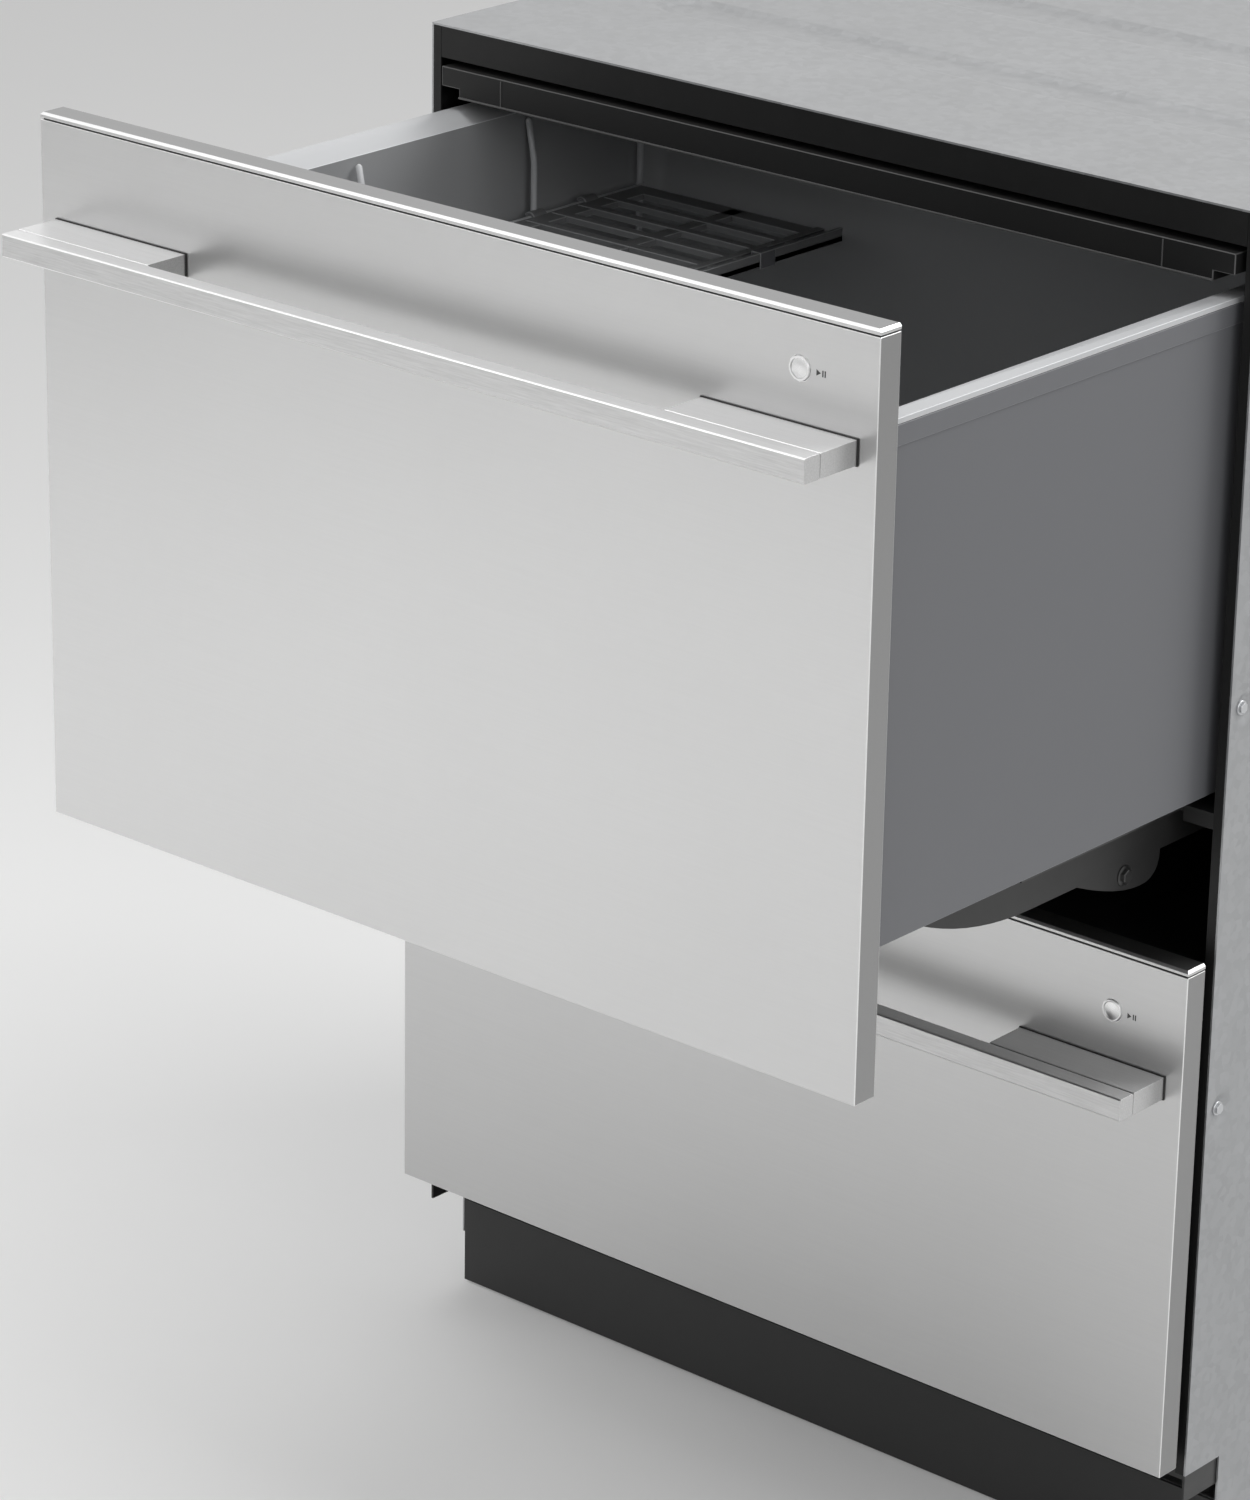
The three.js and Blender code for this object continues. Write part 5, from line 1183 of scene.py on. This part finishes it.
def add_open_clip(mesh, start):
    """A snap clip: most of a tube along Y, open on its left."""
    rings = []
    for step in range(CUP_CLIP_STEPS + 1):
        angle = math.radians(CUP_CLIP_SWEEP * step / CUP_CLIP_STEPS - CUP_CLIP_SWEEP / 2)
        across = Vector((math.cos(angle), 0, math.sin(angle)))
        rim = []
        for radius in (CUP_CLIP_BORE, CUP_CLIP_RADIUS):
            for shift in (0, CUP_CLIP_LENGTH):
                rim.append(mesh.verts.new(start + across * radius + Vector((0, shift, 0))))
        rings.append(rim)
    for first, second in zip(rings, rings[1:]):
        for a, b in ((0, 1), (1, 3), (3, 2), (2, 0)):
            mesh.faces.new((first[a], first[b], second[b], second[a]))
    for rim in (rings[0], rings[-1]):
        mesh.faces.new((rim[0], rim[1], rim[3], rim[2]))


def basket_wall(mesh, along, across, lo, hi, count):
    """One slotted wall of the basket: bands at top, middle and bottom, and bars between."""
    near, far = across

    def block(start, end, low, high, inset=0.0):
        first, last = Vector(lo), Vector(lo)
        first[along], last[along] = start, end
        first[1 - along], last[1 - along] = near + inset, far - inset
        first.z, last.z = low, high
        add_block(mesh, first, last)

    start, end = lo[along], hi[along]
    slot_low, slot_high = lo.z + BASKET_BAND, hi.z - BASKET_BAND
    block(start, end, lo.z, slot_low)
    block(start, end, slot_high, hi.z)
    halfway = (slot_low + slot_high) / 2
    block(start, end, halfway - 2.5 * MM, halfway + 2.5 * MM, 0.3 * MM)
    pitch = (end - start) / (count + 1)
    gap = BASKET_SLOT / 2
    edges = [start]
    for index in range(count):
        slot = start + pitch * (index + 1)
        edges += [slot - gap, slot + gap]
    edges.append(end)
    for bar_start, bar_end in zip(edges[::2], edges[1::2]):
        block(bar_start, bar_end, slot_low, slot_high, 0.3 * MM)


def make_basket():
    """The cutlery basket with slotted walls, a barred floor, dividers and a grip."""
    lo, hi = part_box("upper_cutlery_basket")
    wall = BASKET_WALL
    mesh = bmesh.new()
    for near, far in ((lo.y, lo.y + wall), (hi.y - wall, hi.y)):
        basket_wall(mesh, 0, (near, far), lo, hi, 7)
    for near, far in ((lo.x, lo.x + wall), (hi.x - wall, hi.x)):
        basket_wall(mesh, 1, (near, far), lo, hi, 3)
    for index in range(BASKET_FLOOR_BARS):
        x = lo.x + wall + (hi.x - lo.x - 2 * wall) * (index + 0.5) / BASKET_FLOOR_BARS
        floor_bar = (x - BASKET_BAR_HALF, lo.y + 1 * MM, lo.z)
        add_block(mesh, floor_bar, (x + BASKET_BAR_HALF, hi.y - 1 * MM, lo.z + wall))
    for y in spread(lo.y, hi.y, QUARTERS):
        floor_bar = (lo.x + 1 * MM, y - 1.5 * MM, lo.z + 0.2 * MM)
        add_block(mesh, floor_bar, (hi.x - 1 * MM, y + 1.5 * MM, lo.z + 2.8 * MM))
    middle = (lo.y + hi.y) / 2
    length = hi.x - lo.x
    for x in spread(lo.x, hi.x, (1 / 3, 2 / 3)):
        divider = (x - 1 * MM, lo.y + 1 * MM, lo.z + 2 * MM)
        add_block(mesh, divider, (x + 1 * MM, hi.y - 1 * MM, hi.z - 22 * MM))
    grip_low, grip_high = hi.z - 26 * MM, hi.z - 7 * MM
    grip_start, grip_end = lo.x + length / 3, hi.x - length / 3
    plate_low, plate_high = middle - BASKET_PLATE_HALF, middle + BASKET_PLATE_HALF
    add_block(mesh, (lo.x + 1 * MM, plate_low, lo.z + 2 * MM), (hi.x - 1 * MM, plate_high, grip_low))
    for post in (grip_start - BASKET_POST, grip_end):
        add_block(mesh, (post, plate_low, grip_low), (post + BASKET_POST, plate_high, grip_high))
    bar = (grip_start - BASKET_POST, middle - 3 * MM, grip_high)
    add_block(mesh, bar, (grip_end + BASKET_POST, middle + 3 * MM, hi.z - 0.5 * MM))
    new_mesh_piece(
        "slotted_cutlery_basket",
        mesh,
        [BASKET_PLASTIC],
        "upper_drawer",
        "upper_cutlery_basket",
        bevel=0.5 * MM,
    )


def make_dispenser_details():
    """The grip of the rinse-aid cap, the latch of the detergent lid and the lid's ribs."""
    lo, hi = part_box("upper_detergent_dispenser")
    lid_lo, lid_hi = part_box("upper_dispenser_lid")
    centre = Vector(((lid_hi.x - LID_PLATE_MARGIN + hi.x) / 2, hi.y, (lo.z + hi.z) / 2))
    mesh = bmesh.new()
    place = facing(centre, OUTWARD["back"])
    add_turned(mesh, place, [(RINSE_CAP - 1.5 * MM, -0.3 * MM), (RINSE_CAP - 2 * MM, 0.6 * MM)], 48)
    grip = (centre.x - 2.4 * MM, hi.y - 0.3 * MM, centre.z - 11 * MM)
    add_block(mesh, grip, (centre.x + 2.4 * MM, hi.y + 3.4 * MM, centre.z + 11 * MM))
    latch_x = (lid_lo.x + lid_hi.x) / 2
    face = hi.y - LATCH_SINK
    latch = (latch_x - LATCH_HALF, face - 0.3 * MM, lid_hi.z + 2.5 * MM)
    add_block(mesh, latch, (latch_x + LATCH_HALF, face + 3.2 * MM, lid_hi.z + 13 * MM))
    for step in range(LATCH_RIDGES):
        z = lid_hi.z + (5 + 2.6 * step) * MM
        ridge = (latch_x - RIDGE_HALF, face + 3 * MM, z)
        add_block(mesh, ridge, (latch_x + RIDGE_HALF, face + 3.8 * MM, z + 1.2 * MM))
    skins = [DISPENSER_LID]
    new_mesh_piece(
        "dispenser_fittings", mesh, skins, "upper_drawer", bevel=0.35 * MM
    )
    mesh = bmesh.new()
    for z in spread(lid_lo.z, lid_hi.z, (0.3, 0.45, 0.6, 0.75)):
        rib = (lid_lo.x + LID_RIB_INSET, lid_hi.y - 0.2 * MM, z)
        add_block(mesh, rib, (lid_hi.x - LID_RIB_INSET, lid_hi.y + 0.8 * MM, z + 2 * MM))
    new_mesh_piece(
        "dispenser_lid_ribs",
        mesh,
        skins,
        "upper_dispenser_lid_body",
        bevel=0.3 * MM,
    )


# ================================================================ handle pads, lug bolts and lid trim
def make_handle_shadow_pads(drawer):
    """A thin dark pad between each handle block and the door, a little wider than the block, that
    paints the shadow line round it.
    """
    for side in SIDES:
        lo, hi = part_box(f"{drawer}_handle_block_{side}")
        edge = HANDLE_SHADOW_PAD_EDGE
        mesh = bmesh.new()
        near = (lo.x - edge, hi.y - HANDLE_SHADOW_PAD, lo.z - edge)
        add_block(mesh, near, (hi.x + edge, hi.y, hi.z + edge))
        new_mesh_piece(
            f"{drawer}_handle_shadow_pad_{side}", mesh, [SEAL_RUBBER], drawer + "_drawer"
        )


def make_lug_bolts(drawer):
    """A bolt through each hose lug of the tub carrier."""
    lo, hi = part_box(drawer + "_tub_carrier")
    y = hi.y - LUG_BOLT_FROM_BACK
    z = lo.z + LUG_BOLT_RISE[drawer]
    for side, sign in SIDES.items():
        face = sign * CARRIER_HALF
        place = facing((face, y, z), (sign, 0, 0))
        mesh = bmesh.new()
        washer = [(6 * MM, -0.2 * MM), (6 * MM, 0.7 * MM), (5.6 * MM, 1 * MM)]
        add_turned(mesh, place, washer, 32)
        head = [(4.4 * MM, 0.8 * MM), (4.4 * MM, 3.2 * MM), (3.8 * MM, 3.7 * MM)]
        add_turned(mesh, place, head, 6)
        new_mesh_piece(
            f"{drawer}_lug_bolt_{side}", mesh, [BLACK_SCREW], drawer + "_drawer"
        )


def make_lid_trim(drawer):
    """A thin lip along the lid's lower front edge and the two joints of its front strip, in the lid's
    paler edge grey, a painted highlight.
    """
    lo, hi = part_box(drawer + "_tub_lid")
    mesh = bmesh.new()
    reach = hi.x - LID_NOTCH_WIDTH
    seat = lo.y + 0.3 * MM
    lip = (-reach, lo.y - 0.8 * MM, lo.z + 0.3 * MM)
    add_block(mesh, lip, (reach, seat, lo.z + 1.5 * MM))
    for sign in SIDES.values():
        joint = sorted(sign * (reach - inset) for inset in LID_JOINT)
        low = (joint[0], lo.y - 0.5 * MM, lo.z + 1 * MM)
        add_block(mesh, low, (joint[1], seat, hi.z - 1 * MM))
    body = drawer + "_lid"
    new_mesh_piece(body + "_trim", mesh, [LID_HIGHLIGHT], body, bevel=0.25 * MM)


# ================================================================ buttons and marks
def make_start_button(drawer):
    """A ring in the painted highlight steel round a sunken disc with the lathe's fine rings."""
    lo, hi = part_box(drawer + "_start_button")
    centre = Vector(((lo.x + hi.x) / 2, lo.y, (lo.z + hi.z) / 2))
    outer = (hi.x - lo.x) / 2
    face = outer - BUTTON_RING
    tall = hi.y - lo.y
    sunk = tall - 0.5 * MM
    ring = [
        (outer, 0),
        (outer, tall - 0.4 * MM),
        (outer - 0.1 * MM, tall - 0.12 * MM),
        (outer - 0.35 * MM, tall),
        (face + 0.3 * MM, tall),
        (face + 0.1 * MM, tall - 0.12 * MM),
        (face, sunk - 0.4 * MM),
    ]
    disc = [(face - 0.15 * MM, 0), (face - 0.15 * MM, sunk - 0.1 * MM), (face - 0.4 * MM, sunk)]
    mesh = bmesh.new()
    place = facing((centre.x, hi.y, centre.z), OUTWARD["front"])
    add_turned(mesh, place, ring, 64)
    add_turned(mesh, place, disc, 64, 1)
    spun = spun_finish(drawer + "_spun_button_steel", grey(0.8), centre, 0.24)
    body, node = drawer + "_button", drawer + "_start_button"
    new_mesh_piece(body + "_cap", mesh, [HIGHLIGHT_STEEL, spun], body, node)
    return centre


def prism_on_face(mesh, corners, front, back):
    """A flat printed shape: corners in X and Z, between two planes across Y."""
    first = [mesh.verts.new((x, front, z)) for x, z in corners]
    second = [mesh.verts.new((x, back, z)) for x, z in corners]
    mesh.faces.new(first)
    mesh.faces.new(list(reversed(second)))
    for index in range(len(corners)):
        ahead = (index + 1) % len(corners)
        mesh.faces.new((first[index], first[ahead], second[ahead], second[index]))


def make_start_mark(drawer, centre):
    """The plain play and pause sign beside the button."""
    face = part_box(drawer + "_door_skin")[0].y
    front, back = face - 0.06 * MM, face + 0.05 * MM
    left = centre.x + MARK_OFFSET
    low, high = centre.z - MARK_HALF_HEIGHT, centre.z + MARK_HALF_HEIGHT
    mesh = bmesh.new()
    arrow = [(left, low), (left + MARK_ARROW, centre.z), (left, high)]
    prism_on_face(mesh, arrow, front, back)
    for start in MARK_BARS:
        x0, x1 = left + start, left + start + MARK_BAR_WIDTH
        prism_on_face(mesh, [(x0, low), (x1, low), (x1, high), (x0, high)], front, back)
    new_mesh_piece(
        drawer + "_start_mark", mesh, [MARK_INK], drawer + "_drawer"
    )


# ================================================================ studio
def seen_directly(tree):
    """One for what the camera sees, straight or by a mirror or through glass."""
    path = add_node(tree, "LightPath")
    either = arithmetic(tree, "MAXIMUM", path.outputs["Is Camera Ray"], path.outputs["Is Glossy Ray"])
    return arithmetic(tree, "MAXIMUM", either, path.outputs["Is Transmission Ray"])


def make_floor():
    """A wide pale floor that keeps the shadow under a thin haze of the backdrop's colour."""
    mesh = bmesh.new()
    bmesh.ops.create_grid(mesh, x_segments=2, y_segments=2, size=FLOOR_SIZE / 2)
    data = bpy.data.meshes.new("studio_floor")
    mesh.to_mesh(data)
    mesh.free()
    floor = new_object("studio_floor", data)
    material, tree, shader = new_finish("pale_floor", Roughness=0.8)
    skin = place_skin(tree, FLOOR_COLOUR, 0.8, 0.01, 400, 0.00001)
    tree.links.new(skin.outputs["Colour"], shader.inputs["Base Color"])
    haze = add_node(tree, "Emission", {"Color": BACKDROP_COLOUR, "Strength": 1})
    share = arithmetic(tree, "MULTIPLY", seen_directly(tree), FLOOR_HAZE)
    mixer = add_node(tree, "MixShader", {0: share, 1: shader.outputs[0], 2: haze.outputs[0]})
    tree.links.new(mixer.outputs[0], tree.nodes["Material Output"].inputs["Surface"])
    data.materials.append(material)


def make_world():
    """A pale room: plain light on the object, and the backdrop's own colour for the camera."""
    world = bpy.data.worlds.new("pale_room")
    world.use_nodes = True
    tree = world.node_tree
    light = tree.nodes["Background"]
    light.inputs["Color"].default_value = (1, 1, 1, 1)
    light.inputs["Strength"].default_value = WORLD_LEVEL
    backdrop = add_node(tree, "Background", {"Color": BACKDROP_COLOUR, "Strength": 1})
    seen = seen_directly(tree)
    mixer = add_node(tree, "MixShader", {0: seen, 1: light.outputs[0], 2: backdrop.outputs[0]})
    tree.links.new(mixer.outputs[0], tree.nodes["World Output"].inputs["Surface"])
    bpy.context.scene.world = world


def add_softbox(name, place, aim, size, power, fan=180):
    lamp = bpy.data.lights.new(name, "AREA")
    lamp.shape = "RECTANGLE"
    lamp.size, lamp.size_y = size
    lamp.energy = power
    lamp.spread = math.radians(fan)
    holder = new_object(name, lamp)
    holder.location = place
    holder.rotation_euler = (Vector(aim) - Vector(place)).to_track_quat("-Z", "Y").to_euler()


def make_lights():
    """Overhead light for the open drawer, a key from behind, a side fill and a pool in front."""
    add_softbox("overhead_softbox", (-0.2, -0.6, 3.2), (-0.2, -0.5, 0.5), (1.7, 1.0), 20)
    add_softbox("key_softbox", (1.7, 1.9, 3.3), (-0.1, -0.3, 0.4), (1.8, 1.8), 66)
    add_softbox("side_softbox", (3.4, -1.6, 2.2), (0, -0.1, 0.5), (2.0, 2.0), 20)
    add_softbox("floor_softbox", (-1.5, -2.0, 2.7), (-1.3, -1.75, 0), (1.4, 1.4), 15, 80)


def make_camera():
    lens = bpy.data.cameras.new("photo_camera")
    lens.lens = CAMERA_LENS
    lens.sensor_width = CAMERA_SENSOR
    camera = new_object("photo_camera", lens)
    turn = Matrix.Rotation(math.radians(CAMERA_AZIMUTH), 4, "Z")
    tilt = Matrix.Rotation(math.radians(90 - CAMERA_ELEVATION), 4, "X")
    roll = Matrix.Rotation(math.radians(CAMERA_ROLL), 4, "Z")
    camera.matrix_world = Matrix.Translation(CAMERA_PLACE) @ turn @ tilt @ roll
    bpy.context.scene.camera = camera


# ================================================================ assembly
make_camera()
make_world()
make_lights()
make_floor()
bpy.context.scene.view_settings.view_transform = "Standard"

finish_chassis()
for side in SIDES:
    make_side_panel(side)
make_back_sheet()
make_top_sheet()
for foot in FEET:
    make_foot(foot)
make_services()
for drawer in DRAWERS:
    finish_door(drawer)
    finish_tub(drawer)
    make_start_mark(drawer, make_start_button(drawer))
    make_handle_shadow_pads(drawer)
    make_lug_bolts(drawer)
    make_lid_trim(drawer)
finish_dispenser()
make_dispenser_details()
make_cup_rack()
make_basket()
make_upper_rack()
make_lower_rack()
make_folding_tines()
